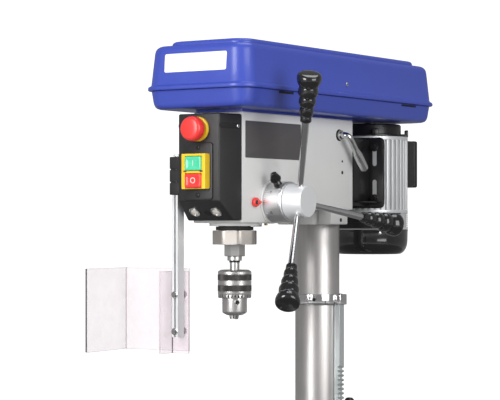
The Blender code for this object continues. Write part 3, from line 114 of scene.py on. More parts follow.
def finish(
        name, colour, roughness, metallic=0.0, grain=600.0, relief=0.00005, stretch=(1, 1, 1), vary=0.05,
        mottle=0.04, coat=0.0, speck=None, wave=None, alpha=1.0):
    """A surface with a fine relief, a broad drift of tone and roughness, and, where asked for, specks of a
    second colour scattered at random.
    """
    made = bpy.data.materials.new(name)
    made.use_nodes = True
    nodes, links = made.node_tree.nodes, made.node_tree.links
    shader = nodes["Principled BSDF"]
    place = nodes.new("ShaderNodeTexCoord").outputs["Object"]
    drawn = nodes.new("ShaderNodeMapping")
    drawn.inputs["Scale"].default_value = stretch
    links.new(place, drawn.inputs["Vector"])
    broad = noise(nodes, links, place, 17.0)
    fine = noise(nodes, links, drawn.outputs["Vector"], grain)
    tone = mixed(
        nodes, links, ranged(nodes, links, broad, 0.0, 1.0), shaded(colour, 1 - mottle),
        shaded(colour, 1 + mottle))
    if stretch != (1, 1, 1):
        streaks = nodes.new("ShaderNodeMix")
        streaks.data_type = "RGBA"
        links.new(ranged(nodes, links, fine, 0.0, 1.0), streaks.inputs["Factor"])
        links.new(tone, streaks.inputs["A"])
        streaks.inputs["B"].default_value = (*shaded(colour, 1 - 3 * mottle), 1.0)
        tone = streaks.outputs["Result"]
    if speck:
        marks = nodes.new("ShaderNodeMix")
        marks.data_type = "RGBA"
        spots = noise(nodes, links, place, 210.0, 5.0, 0.7)
        links.new(ranged(nodes, links, spots, 0.0, 0.55, 0.66, 0.74), marks.inputs["Factor"])
        links.new(tone, marks.inputs["A"])
        marks.inputs["B"].default_value = (*speck, 1.0)
        tone = marks.outputs["Result"]
    links.new(tone, shader.inputs["Base Color"])
    links.new(
        ranged(nodes, links, broad, max(0.02, roughness - vary), roughness + vary),
        shader.inputs["Roughness"])
    shader.inputs["Metallic"].default_value = metallic
    shader.inputs["Coat Weight"].default_value = coat
    shader.inputs["Coat Roughness"].default_value = 0.06
    shader.inputs["Alpha"].default_value = alpha
    bump = nodes.new("ShaderNodeBump")
    bump.inputs["Strength"].default_value = 1.0
    bump.inputs["Distance"].default_value = relief
    links.new(fine, bump.inputs["Height"])
    normal = bump.outputs["Normal"]
    if wave:
        broad_bump = nodes.new("ShaderNodeBump")
        broad_bump.inputs["Strength"].default_value = 1.0
        broad_bump.inputs["Distance"].default_value = wave[1]
        links.new(noise(nodes, links, place, wave[0], 2.0), broad_bump.inputs["Height"])
        links.new(normal, broad_bump.inputs["Normal"])
        normal = broad_bump.outputs["Normal"]
    links.new(normal, shader.inputs["Normal"])
    return made


def clear_finish(name, tint, edge):
    """Clear sheet: faint tint on the faces, and dark where it is seen edge on."""
    made = bpy.data.materials.new(name)
    made.use_nodes = True
    nodes, links = made.node_tree.nodes, made.node_tree.links
    shader = nodes["Principled BSDF"]
    place = nodes.new("ShaderNodeTexCoord").outputs["Object"]
    fine = noise(nodes, links, place, 240.0)
    links.new(
        mixed(nodes, links, ranged(nodes, links, fine, 0.0, 1.0), tint, shaded(tint, 0.97)),
        shader.inputs["Base Color"])
    links.new(ranged(nodes, links, fine, 0.04, 0.10), shader.inputs["Roughness"])
    links.new(
        ranged(nodes, links, noise(nodes, links, place, 30.0), edge, edge + 0.05), shader.inputs["Alpha"])
    shader.inputs["IOR"].default_value = 1.30
    bump = nodes.new("ShaderNodeBump")
    bump.inputs["Strength"].default_value = 0.3
    bump.inputs["Distance"].default_value = 0.00001
    links.new(fine, bump.inputs["Height"])
    links.new(bump.outputs["Normal"], shader.inputs["Normal"])
    return made


FINISHES = {
    "cast_grey": finish(
        "cast_grey_paint", (0.70, 0.70, 0.69), 0.40, grain=900.0, relief=0.00007, wave=(150.0, 0.00012),
        vary=0.07, mottle=0.02, speck=(0.48, 0.48, 0.47)),
    "cast_iron": finish(
        "ground_cast_iron", (0.40, 0.40, 0.41), 0.33, 0.85, 420.0, 0.00004, (18, 1, 18), 0.08, 0.07,
        speck=(0.16, 0.16, 0.16)),
    "steel": finish("ground_steel", (0.58, 0.57, 0.55), 0.26, 1.0, 300.0, 0.00003, (1, 1, 22), 0.06, 0.05),
    "chrome": finish("chrome", (0.66, 0.66, 0.66), 0.15, 1.0, 500.0, 0.000004, vary=0.04, mottle=0.03),
    "aluminium": finish(
        "satin_aluminium", (0.82, 0.82, 0.83), 0.36, 1.0, 500.0, 0.00002, (1, 1, 14), 0.06, 0.03),
    "black_plastic": finish(
        "textured_black_plastic", (0.014, 0.0135, 0.015), 0.48, grain=1500.0, relief=0.00009, vary=0.06,
        mottle=0.10, speck=(0.030, 0.029, 0.032)),
    "black_gloss": finish(
        "glossy_black_grip", (0.010, 0.010, 0.011), 0.14, grain=260.0, relief=0.00006, vary=0.06, mottle=0.15,
        coat=0.5),
    "black_paint": finish(
        "black_paint", (0.012, 0.012, 0.013), 0.30, grain=700.0, relief=0.00008, vary=0.08, mottle=0.12,
        wave=(120.0, 0.0001)),
    "blue": finish(
        "blue_enamel", (0.042, 0.072, 0.42), 0.38, grain=900.0, relief=0.00010, vary=0.04, mottle=0.02,
        coat=0.15, wave=(420.0, 0.00006)),
    "yellow": finish(
        "yellow_plastic", (0.93, 0.60, 0.025), 0.32, grain=900.0, relief=0.00003, mottle=0.03, coat=0.2),
    "red": finish(
        "red_plastic", (0.88, 0.045, 0.04), 0.34, grain=900.0, relief=0.00004, mottle=0.04, coat=0.2),
    "green": finish(
        "green_plastic", (0.09, 0.66, 0.38), 0.30, grain=900.0, relief=0.00003, mottle=0.03, coat=0.3),
    "rubber": finish(
        "black_rubber", (0.014, 0.014, 0.014), 0.70, grain=1200.0, relief=0.0001, vary=0.08, mottle=0.15),
    "clear": clear_finish("clear_sheet", (0.86, 0.72, 0.79), 0.20),
    "warm_steel": finish(
        "warm_ground_steel", (0.50, 0.465, 0.43), 0.46, 0.8, 320.0, 0.00003, (1, 1, 18), 0.06, 0.05),
    "column_steel": finish(
        "brushed_column", (0.60, 0.58, 0.57), 0.40, 0.85, 160.0, 0.00002, (8, 8, 0.05), 0.04, 0.06),
    "chuck_steel": finish(
        "chuck_steel", (0.62, 0.61, 0.60), 0.34, 0.92, 300.0, 0.00002, (1, 1, 20), 0.05, 0.04),
    "pale_rack": finish(
        "pale_rack_steel", (0.66, 0.70, 0.70), 0.34, 0.7, 420.0, 0.00006, vary=0.08, mottle=0.06),
    "brass": finish("brass", (0.62, 0.42, 0.14), 0.28, 1.0, 500.0, 0.00002, vary=0.07, mottle=0.08),
    "plate_white": finish(
        "plain_white_plate", (0.88, 0.88, 0.88), 0.50, grain=900.0, relief=0.00001, mottle=0.01, coat=0.1),
    "silver_paint": finish(
        "silver_paint", (0.72, 0.73, 0.74), 0.42, 0.45, 500.0, 0.00003, vary=0.05, mottle=0.03),
    "pale_aluminium": finish(
        "pale_drawn_aluminium", (0.84, 0.85, 0.86), 0.42, 0.4, 500.0, 0.00002, (14, 14, 1), 0.05, 0.02),
    "plate_grey": finish(
        "plain_grey_plate", (0.075, 0.070, 0.072), 0.42, grain=900.0, relief=0.00001, mottle=0.05, coat=0.2),
    # black ink for printed marks and numbers; the same black is also painted shade in the screws' cross
    # recesses
    "ink": finish("black_ink_and_recess_shade", (0.012, 0.012, 0.012), 0.45, grain=900.0, relief=0.00001),
    "sign_white": finish("pale_sign", (0.66, 0.78, 0.70), 0.38, grain=900.0, relief=0.00001),
    "lens": finish("warm_lens", (0.72, 0.68, 0.60), 0.22, grain=700.0, relief=0.00004, mottle=0.06, coat=0.6),
    # near-black painted shade, laid over holes, slots, channels, sockets, wells, splits and vents where shade
    # falls inside them
    "dark_hole": finish("painted_recess_shade", (0.006, 0.006, 0.006), 0.75, grain=700.0, relief=0.00005),
    "knurl": finish("dark_knurl", (0.045, 0.043, 0.041), 0.45, 0.35, 420.0, 0.00008, vary=0.08, mottle=0.15),
    # painted shade: dark strips, and fainter tinted strips, drawn where the clear sheets' edges and folds are
    # seen end-on
    "sheet_edge": finish(
        "sheet_edge_painted_shade", (0.10, 0.095, 0.10), 0.25, grain=700.0, relief=0.00002, mottle=0.1, alpha=0.85),
    "sheet_fold": finish(
        "sheet_fold", (0.74, 0.68, 0.71), 0.25, grain=700.0, relief=0.00002, mottle=0.05, alpha=0.40),
}


# ---- pieces ----
def shown(name, bm, look, body, stands_for=(), sharp=32):
    """A finished piece from a bmesh drawn in place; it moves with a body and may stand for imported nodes."""
    bmesh.ops.remove_doubles(bm, verts=bm.verts, dist=1e-6)
    bmesh.ops.recalc_face_normals(bm, faces=bm.faces)
    mesh = bpy.data.meshes.new(name)
    bm.to_mesh(mesh)
    bm.free()
    mesh.shade_smooth()
    mesh.set_sharp_from_angle(angle=math.radians(sharp))
    mesh.materials.append(FINISHES[look])
    made = bpy.data.objects.new(name, mesh)
    bpy.context.scene.collection.objects.link(made)
    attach(made, body)
    if stands_for:
        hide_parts(*stands_for)
        SHOWN_AS_PACKED.difference_update(stands_for)
    return made


def soften(bm, width, segments=2, angle=30):
    """Rounds every edge sharper than an angle."""
    bm.normal_update()
    edges = [edge for edge in bm.edges if edge.is_manifold and edge.calc_face_angle(0) > math.radians(angle)]
    bmesh.ops.bevel(
        bm, geom=edges, offset=width, offset_type="OFFSET", segments=segments, profile=0.5, affect="EDGES",
        clamp_overlap=True, material=-1)
    return bm


def moved(bm, matrix):
    bmesh.ops.transform(bm, matrix=matrix, verts=bm.verts)
    return bm


def merged(*parts):
    """Several closed shapes carried by one mesh."""
    whole = bmesh.new()
    for part in parts:
        scratch = bpy.data.meshes.new("scratch")
        part.to_mesh(scratch)
        part.free()
        whole.from_mesh(scratch)
        bpy.data.meshes.remove(scratch)
    return whole


AXIS_TURN = {
    "Z": Matrix.Identity(4), "X": Matrix.Rotation(math.radians(90), 4, "Y"),
    "Y": Matrix.Rotation(math.radians(-90), 4, "X"),
}


def turned(profile, at=(0, 0, 0), axis="Z", sides=ROUND, hollow=False, edge=0.0, segments=2, turn=None):
    """A turned body from (radius, height) points; its edges are rounded by a width."""
    bm = bmesh.new()
    points = [bm.verts.new((radius, 0, height)) for radius, height in profile]
    ends = points[1:] + points[:1] if hollow else points[1:]
    lines = [bm.edges.new(pair) for pair in zip(points, ends)]
    bmesh.ops.spin(bm, geom=points + lines, axis=(0, 0, 1), angle=math.tau, steps=sides, use_merge=True)
    bmesh.ops.remove_doubles(bm, verts=bm.verts, dist=1e-6)
    bmesh.ops.recalc_face_normals(bm, faces=bm.faces)
    if edge:
        soften(bm, edge, segments, 25)
    place = turn if turn is not None else AXIS_TURN[axis]
    return moved(bm, Matrix.Translation(at) @ place)


def rod(radius, start, end, at=(0, 0, 0), axis="Z", sides=FINE, edge=0.0, turn=None):
    return turned(
        [(0, start), (radius, start), (radius, end), (0, end)], at, axis, sides, edge=edge, turn=turn)


def tube(inner, outer, start, end, at=(0, 0, 0), axis="Z", sides=ROUND, edge=0.0):
    return turned([(inner, start), (outer, start), (outer, end), (inner, end)], at, axis, sides, True, edge)


PLACES = {"X": lambda u, v, w: (w, u, v), "Y": lambda u, v, w: (u, w, v), "Z": lambda u, v, w: (u, v, w)}


def prism(outline, start, end, axis="Z", edge=0.0, segments=2, angle=30):
    """An outline extruded along an axis; its points are the two other coordinates in X, Y, Z order."""
    bm = bmesh.new()
    near = [bm.verts.new(PLACES[axis](u, v, start)) for u, v in outline]
    face = bm.faces.new(near)
    grown = bmesh.ops.extrude_face_region(bm, geom=[face])
    lifted = [item for item in grown["geom"] if isinstance(item, bmesh.types.BMVert)]
    bmesh.ops.translate(bm, verts=lifted, vec=Vector(PLACES[axis](0, 0, end - start)))
    bmesh.ops.recalc_face_normals(bm, faces=bm.faces)
    if edge:
        soften(bm, edge, segments, angle)
    return bm


def block(lowest, highest, edge=0.0, segments=2):
    outline = [
        (lowest[0], lowest[1]), (highest[0], lowest[1]), (highest[0], highest[1]), (lowest[0], highest[1])]
    return prism(outline, lowest[2], highest[2], edge=edge, segments=segments)


def rounded(low_u, high_u, low_v, high_v, radius, steps=8):
    """Outline of a rectangle with round corners."""
    outline = []
    for u, v, start in (
            (high_u - radius, low_v + radius, -90), (high_u - radius, high_v - radius, 0),
            (low_u + radius, high_v - radius, 90), (low_u + radius, low_v + radius, 180)):
        for step in range(steps + 1):
            angle = math.radians(start + 90 * step / steps)
            outline.append((u + radius * math.cos(angle), v + radius * math.sin(angle)))
    return outline


def lofted(rings, capped=True):
    """A body through rings of equally many points; the first and last are capped, or joined to each other."""
    bm = bmesh.new()
    made = [[bm.verts.new(point) for point in points] for points in rings]
    if capped:
        bm.faces.new(made[0])
        bm.faces.new(made[-1])
    else:
        made.append(made[0])
    for below, above in zip(made, made[1:]):
        for here in range(len(below)):
            after = (here + 1) % len(below)
            bm.faces.new((below[here], below[after], above[after], above[here]))
    bmesh.ops.recalc_face_normals(bm, faces=bm.faces)
    return bm


def swept(path, radius, sides=20):
    """A round bar along a path, with flat ends."""
    rings = []
    across = None
    for here, point in enumerate(path):
        before, after = path[max(here - 1, 0)], path[min(here + 1, len(path) - 1)]
        along = (Vector(after) - Vector(before)).normalized()
        across = along.orthogonal() if across is None else (across - along * across.dot(along))
        across = across.normalized()
        up = along.cross(across)
        ring = []
        for side in range(sides):
            angle = math.tau * side / sides
            ring.append(Vector(point) + (across * math.cos(angle) + up * math.sin(angle)) * radius)
        rings.append(ring)
    return lofted(rings)


def eased(corners, bend, steps=8):
    """A path through corners, each turned into an arc of about the bend's size."""
    corners = [Vector(corner) for corner in corners]
    path = [corners[0]]
    for before, corner, after in zip(corners, corners[1:], corners[2:]):
        start = corner + (before - corner).normalized() * bend
        end = corner + (after - corner).normalized() * bend
        for step in range(steps + 1):
            share = step / steps
            path.append(start.lerp(corner, share).lerp(corner.lerp(end, share), share))
    path.append(corners[-1])
    return path


def facing(direction, at):
    """The placement that turns +Z to a direction and moves the origin to a point."""
    return Matrix.Translation(at) @ Vector(direction).to_track_quat("Z", "Y").to_matrix().to_4x4()


def around(at, angle, axis="Z"):
    """The placement that turns about an axis and moves the origin to a point."""
    return Matrix.Translation(at) @ Matrix.Rotation(angle, 4, axis)


def outward(angle):
    """The level direction at an angle from +X."""
    return Vector((math.cos(angle), math.sin(angle), 0))


def hex_plug(radius, height, direction, at, start=0.0):
    """A hexagonal plug, as a set screw shows it, or as the painted shade of its hex socket."""
    return moved(
        turned([(0, start), (radius, start), (radius, height), (0, height)], sides=6), facing(direction, at))


def hex_bolt(across, head, at, direction=(0, 0, 1), washer=0.0):
    """A hexagon head with a chamfered top and a short dome, on a washer."""
    radius = across / math.sqrt(3)
    parts = [
        moved(
            turned([(0, 0), (radius, 0), (radius, head * 0.82), (radius * 0.84, head), (0, head)], sides=6),
            facing(direction, at))]
    if washer:
        parts.append(moved(rod(across * 0.72, -washer, 0.0002, edge=0.0002), facing(direction, at)))
    return merged(*parts)


def cross_screw(radius, head, at, direction=(0, 0, 1)):
    """A screw's pan head."""
    dome = [
        (0, 0), (radius, 0), (radius, head * 0.45), (radius * 0.80, head * 0.85), (radius * 0.45, head),
        (0, head)]
    return moved(turned(dome, sides=24), facing(direction, at))


def cross_recess_shade(radius, head, at, direction=(0, 0, 1)):
    """Painted shade of a pan head's cross recess: a dark cross that sits a hair above the head."""
    arm, width = radius * 0.55, radius * 0.13
    parts = []
    for u, v in ((arm, width), (width, arm)):
        parts.append(moved(block((-u, -v, head * 0.92), (u, v, head + 0.00008)), facing(direction, at)))
    return merged(*parts)


def marked_screw(name, shade_name, radius, head, at, direction, look, body):
    """A pan head with the painted shade of its cross recess in it, as two pieces."""
    shown(name, cross_screw(radius, head, at, direction), look, body)
    shown(shade_name, cross_recess_shade(radius, head, at, direction), "ink", body)


def lettering(name, text, size, depth, matrix, look, body):
    """Raised letters turned into a mesh."""
    curve = bpy.data.curves.new(name, "FONT")
    curve.body = text
    curve.size = size
    curve.align_x = "CENTER"
    curve.align_y = "CENTER"
    curve.extrude = depth / 2
    scratch = bpy.data.objects.new(name + "_text", curve)
    bpy.context.scene.collection.objects.link(scratch)
    bpy.context.view_layer.update()
    mesh = bpy.data.meshes.new_from_object(scratch.evaluated_get(bpy.context.evaluated_depsgraph_get()))
    bpy.data.objects.remove(scratch)
    bpy.data.curves.remove(curve)
    bm = bmesh.new()
    bm.from_mesh(mesh)
    bpy.data.meshes.remove(mesh)
    return shown(name, moved(bm, matrix), look, body)


def softened_copy(node, width, segments=2):
    """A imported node's own shape with its edges rounded."""
    bm = bmesh.new()
    bm.from_mesh(frame["nodes"][node].data)
    bmesh.ops.remove_doubles(bm, verts=bm.verts, dist=1e-5)
    bmesh.ops.dissolve_limit(bm, angle_limit=math.radians(1), verts=bm.verts, edges=bm.edges)
    soften(bm, width, segments, 32)
    return shown(node + "_finished", bm, SLOT_OF[node], BODY_OF[node], (node,))


# ---- belt cover ----
LID_LOW, LID_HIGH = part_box("belt_lid")
TRAY_LOW, TRAY_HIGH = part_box("belt_tray")
RIM_STEP, RIM_HEIGHT, WALL = 0.006, 0.010, 0.003
RIM_Z = LID_LOW.z
PAD_HEIGHT = 0.007
LID_TOP = LID_HIGH.z - PAD_HEIGHT
CORNER = 0.038
TRAY_FOOT = 0.011
LID_SHOULDER = 0.011
LID_EDGE = 0.012
TRAY_BASE = TRAY_LOW.z + 0.0037
SEAM_Z = RIM_Z - 0.0003
PAD_LEFT, PAD_BACK, PAD_CORNER = -0.070, 0.212, 0.030
VENT_SPANS = ((-0.288, -0.243), (0.129, 0.183))
COVER_SCREW_Y, COVER_SCREW_Z = -0.067, 0.978
BADGE_HALF_WIDTH, BADGE_HALF_HEIGHT, BADGE_Z = 0.062, 0.0155, 1.0005
COVER_HINGES = (("front", -0.30), ("back", 0.17))
HINGE_HALF = 0.022


def cover_ring(inset, z, radius, steps=12):
    """The cover's rounded outline, drawn in by an inset, at a height."""
    outline = rounded(
        LID_LOW.x + inset, LID_HIGH.x - inset, LID_LOW.y + inset, LID_HIGH.y - inset, radius, steps)
    return [(x, y, z) for x, y in outline]


def lid_face(z):
    """How far in from the rim the lid's sloping side is at a height."""
    base = RIM_Z + RIM_HEIGHT
    return RIM_STEP + (LID_SHOULDER - RIM_STEP) * (z - base) / (LID_TOP - LID_EDGE - base)


def build_tray():
    """The tray under the belts, its saddle on the head and the idler's post."""
    base, seam = TRAY_BASE, SEAM_Z
    bend = [
        (0.0105, 0.0), (0.0062, 0.0004), (0.0030, 0.0018), (0.0008, 0.0045), (-0.0004, 0.0080),
        (-0.0012, 0.0115)]
    outer = [cover_ring(TRAY_FOOT + inset, base + rise, CORNER - TRAY_FOOT) for inset, rise in bend]
    outer += [
        cover_ring(RIM_STEP + 0.0002, seam - 0.0008, CORNER - RIM_STEP),
        cover_ring(RIM_STEP + 0.0008, seam, CORNER - RIM_STEP)]
    inner = [
        cover_ring(RIM_STEP + WALL, seam, CORNER - RIM_STEP - WALL),
        cover_ring(TRAY_FOOT + WALL, base + 0.010, CORNER - TRAY_FOOT - WALL),
        cover_ring(TRAY_FOOT + 0.0095, base + WALL, CORNER - TRAY_FOOT - WALL)]
    shown("cover_tray", lofted(outer + inner), "blue", "frame", ("belt_tray",))
    post = turned(
        [
            (0, base + WALL - 0.001), (0.016, base + WALL - 0.001), (0.016, base + WALL + 0.003),
            (0.008, base + WALL + 0.003), (0.008, TRAY_HIGH.z), (0, TRAY_HIGH.z)],
        (0, centre("idler_pulley").y, 0), edge=0.0006)
    shown("cover_idler_post", post, "steel", "frame")
    casting_low, casting_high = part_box("head_casting")
    saddle = block(
        (casting_low.x + 0.012, casting_low.y + 0.004, TRAY_LOW.z),
        (casting_high.x - 0.012, casting_high.y - 0.002, base + 0.0005), 0.0006)
    shown("cover_saddle", saddle, "blue", "frame")


build_tray()


def build_lid():
    """The hollow lid, drawn from the middle of its ceiling out to the rim and up over its outside."""
    rim_top = RIM_Z + RIM_HEIGHT
    levels = [
        (RIM_STEP + WALL, RIM_Z, CORNER - RIM_STEP - WALL), (0.0014, RIM_Z, CORNER - 0.001),
        (0.0004, RIM_Z + 0.0005, CORNER), (0.0, RIM_Z + 0.0015, CORNER), (0.0, RIM_Z + 0.0045, CORNER),
        (0.0008, RIM_Z + 0.0062, CORNER - 0.001), (0.0028, RIM_Z + 0.0074, CORNER - 0.003),
        (0.0048, RIM_Z + 0.0084, CORNER - 0.005), (0.0057, rim_top, CORNER - 0.0057)]
    shoulder = LID_TOP - LID_EDGE
    levels.append((LID_SHOULDER - 0.0004, shoulder - 0.002, CORNER - 0.008))
    for step in range(7):
        angle = math.radians(8 + 82 * step / 6)
        levels.append(
            (
                LID_SHOULDER + LID_EDGE * (1 - math.cos(angle)), shoulder + LID_EDGE * math.sin(angle),
                CORNER - 0.008 - LID_EDGE * 0.6 * (1 - math.cos(angle))))
    inside = [
        (LID_SHOULDER + LID_EDGE, LID_TOP - WALL, CORNER - 0.016),
        (LID_SHOULDER + 0.0065, LID_TOP - LID_EDGE * 0.5, CORNER - 0.013),
        (LID_SHOULDER + WALL, shoulder - 0.002, CORNER - 0.011),
        (RIM_STEP + WALL, rim_top, CORNER - RIM_STEP - WALL)]
    shell = lofted([cover_ring(*level) for level in inside + levels])
    shown("cover_lid", shell, "blue", "lid", ("belt_lid",))

    pad_right = LID_HIGH.x - LID_SHOULDER - 0.007
    steps = [
        (0.0, -0.001), (0.0, 0.0010), (0.0006, 0.0032), (0.0022, 0.0052), (0.0046, 0.0064),
        (0.0080, PAD_HEIGHT)]
    rings = []
    for inset, rise in steps:
        outline = rounded(
            PAD_LEFT + inset, pad_right - inset, LID_LOW.y + LID_SHOULDER + 0.010 + inset, PAD_BACK - inset,
            PAD_CORNER - inset, 12)
        rings.append([(x, y, LID_TOP + rise) for x, y in outline])
    shown("cover_lid_pad", lofted(rings), "blue", "lid")


build_lid()


def build_cover_fittings():
    """The vents under the rim, the side screws, the plain badge and the hinge barrels."""
    # the vents are dark patches under the rim: painted shade standing for the slots' openings
    vents = []
    face = LID_HIGH.x - RIM_STEP - 0.0001
    for near, far in ((-face, 0.004 - face), (face - 0.004, face)):
        for start, end in VENT_SPANS:
            vents.append(block((near, start, RIM_Z - 0.0052), (far, end, RIM_Z - 0.0014), 0.0006))
    shown("cover_vent_slots", merged(*vents), "dark_hole", "frame")

    for side in (-1, 1):
        at = (side * (LID_HIGH.x - lid_face(COVER_SCREW_Z)), COVER_SCREW_Y, COVER_SCREW_Z)
        out = (side, 0, 0.189)
        marked_screw(
            f"cover_screw_{side + 2}", f"cover_screw_mark_{side + 2}", 0.0036, 0.0022, at, out, "chrome",
            "lid")

    lean = math.atan((LID_SHOULDER - RIM_STEP) / (LID_TOP - LID_EDGE - RIM_Z - RIM_HEIGHT))
    outline = rounded(-BADGE_HALF_WIDTH, BADGE_HALF_WIDTH, -BADGE_HALF_HEIGHT, BADGE_HALF_HEIGHT, 0.003, 5)
    badge = prism(outline, -0.0003, 0.0009, edge=0.0003)
    turn = around((0, LID_LOW.y + lid_face(BADGE_Z), BADGE_Z), math.radians(90) - lean, "X")
    shown("cover_badge_plate", moved(badge, turn), "plate_white", "lid")

    for end, place in COVER_HINGES:
        at = (LID_LOW.x + 0.0042, 0, RIM_Z)
        barrel = rod(0.0042, place - HINGE_HALF, place + HINGE_HALF, at, "Y", 24, 0.0005)
        shown(f"cover_hinge_{end}", barrel, "steel", "frame")


build_cover_fittings()


# ---- head casting ----
CASTING_LOW, CASTING_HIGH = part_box("head_casting")
FRONT_HALF = 0.050
BACK_HALF = 0.0585
CASTING_BACK = 0.028
FLARE_Y = -0.075
EAR_X = 0.0572
BOSS_INNER, BOSS_OUTER = 0.0405, 0.0492
FLANGE_INNER, FLANGE_OUTER = 0.0284, 0.043
LABEL_EDGES = (-0.311, -0.146, 0.844, 0.906)
CASTING_FRONT = high("front_panel").y + 0.0003


def half_width(y):
    """Half the head casting's width at a depth: narrow in front, flaring to the back."""
    share = min(1.0, max(0.0, (y - CASTING_FRONT) / (FLARE_Y - CASTING_FRONT)))
    return FRONT_HALF + (BACK_HALF - FRONT_HALF) * share


def build_casting():
    """The head casting with its quill flange, column boss, feed pads, holes, plain label and bolts."""
    front, back = CASTING_FRONT, CASTING_BACK
    base, back_floor, top = CASTING_LOW.z + 0.005, CASTING_LOW.z + 0.029, CASTING_HIGH.z
    step = SPINDLE.y + 0.090
    side = [
        (front, base), (step, base), (step + 0.020, back_floor), (FLARE_Y, back_floor), (back, back_floor),
        (back, top), (FLARE_Y, top), (front, top)]
    body = prism(side, -1, 1, "X")
    for vert in body.verts:
        vert.co.x *= half_width(vert.co.y)
    soften(body, 0.0028, 3, 12)
    shown("casting_body", body, "cast_grey", "frame", ("head_casting",))

    flange = tube(FLANGE_INNER, FLANGE_OUTER, CASTING_LOW.z, base + 0.003, (0, SPINDLE.y, 0), edge=0.0008)
    shown("casting_quill_flange", flange, "cast_grey", "frame")
    foot = base - 0.002
    boss = [tube(BOSS_INNER, BOSS_OUTER, foot, back_floor + 0.004, edge=0.0012)]
    for near, far in ((-EAR_X, -0.030), (0.030, EAR_X)):
        boss.append(block((near, -0.046, foot), (far, 0.012, back_floor + 0.002), 0.0025))
    shown("casting_column_boss", merged(*boss), "cast_grey", "frame")

    for side_x in (-1, 1):
        x = side_x * half_width(FEED.y)
        pad = turned(
            [(0, -0.006), (0.037, -0.006), (0.037, 0.0006), (0.0356, 0.0020), (0.0340, 0.0025), (0, 0.0025)],
            (x, FEED.y, FEED.z), turn=Matrix.Rotation(side_x * math.radians(90), 4, "Y"))
        shown(f"casting_feed_pad_{side_x + 2}", pad, "cast_grey", "frame")

    lever_y, lever_z = PIVOT["tension_lever_turn"][1:]
    # a black ring round the lever's root: painted shade of the hole the lever comes out of
    rim = tube(0.0062, 0.0105, -0.0010, 0.0012, (half_width(lever_y), lever_y, lever_z), "X", 48, 0.0005)
    shown("casting_lever_hole_shade", rim, "black_paint", "frame")
    # dark discs on both sides: painted shade standing for holes in the casting
    holes = []
    for side_x in (-1, 1):
        inward = Matrix.Rotation(side_x * math.radians(90), 4, "Y")
        for radius, rise, x, y, z in (
                (0.0022, 0.00025, half_width(-0.010), -0.010, 0.846),
                (0.0032, 0.00025, half_width(-0.010), -0.010, 0.826),
                (0.0036, 0.0003, EAR_X, -0.013, HEAD_LOW + 0.0095)):
            holes.append(rod(radius, -0.002, rise, (side_x * x, y, z), sides=24, turn=inward))
    shown("casting_side_holes", merged(*holes), "dark_hole", "frame")

    label = prism(rounded(*LABEL_EDGES, 0.002, 4), -0.0004, 0.0004, "X", 0.0001)
    for vert in label.verts:
        vert.co.x += half_width(vert.co.y)
    shown("casting_label_plate", label, "plate_grey", "frame")

    under_bolts = (
        (-0.258, 0.0042, 0.006, "chrome"), (-0.246, 0.0042, 0.006, "chrome"),
        (-0.226, 0.0030, 0.004, "brass"))
    for index, (y, radius, length, metal) in enumerate(under_bolts):
        bolt = turned(
            [(0, -length), (radius * 0.85, -length), (radius, -length + 0.001), (radius, 0.002), (0, 0.002)],
            (0.036, y, base), sides=24)
        shown(f"casting_under_bolt_{index}", bolt, metal, "frame")


build_casting()


# ---- front panel and its switches ----
PANEL_LOW, PANEL_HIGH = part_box("front_panel")
PANEL_FACE = PANEL_LOW.y
SWITCH = centre("switch_plate")
STOP = centre("stop_button")
SLOPE_RISE, SLOPE_RUN = 0.032, 0.035


def slope_front(z):
    """Where the panel's lower slope is at a height."""
    return PANEL_FACE + SLOPE_RUN * (PANEL_LOW.z + SLOPE_RISE - z) / SLOPE_RISE


def panel_half(y):
    return 0.041 + (y - PANEL_FACE) * 0.009 / (PANEL_HIGH.y - PANEL_FACE)


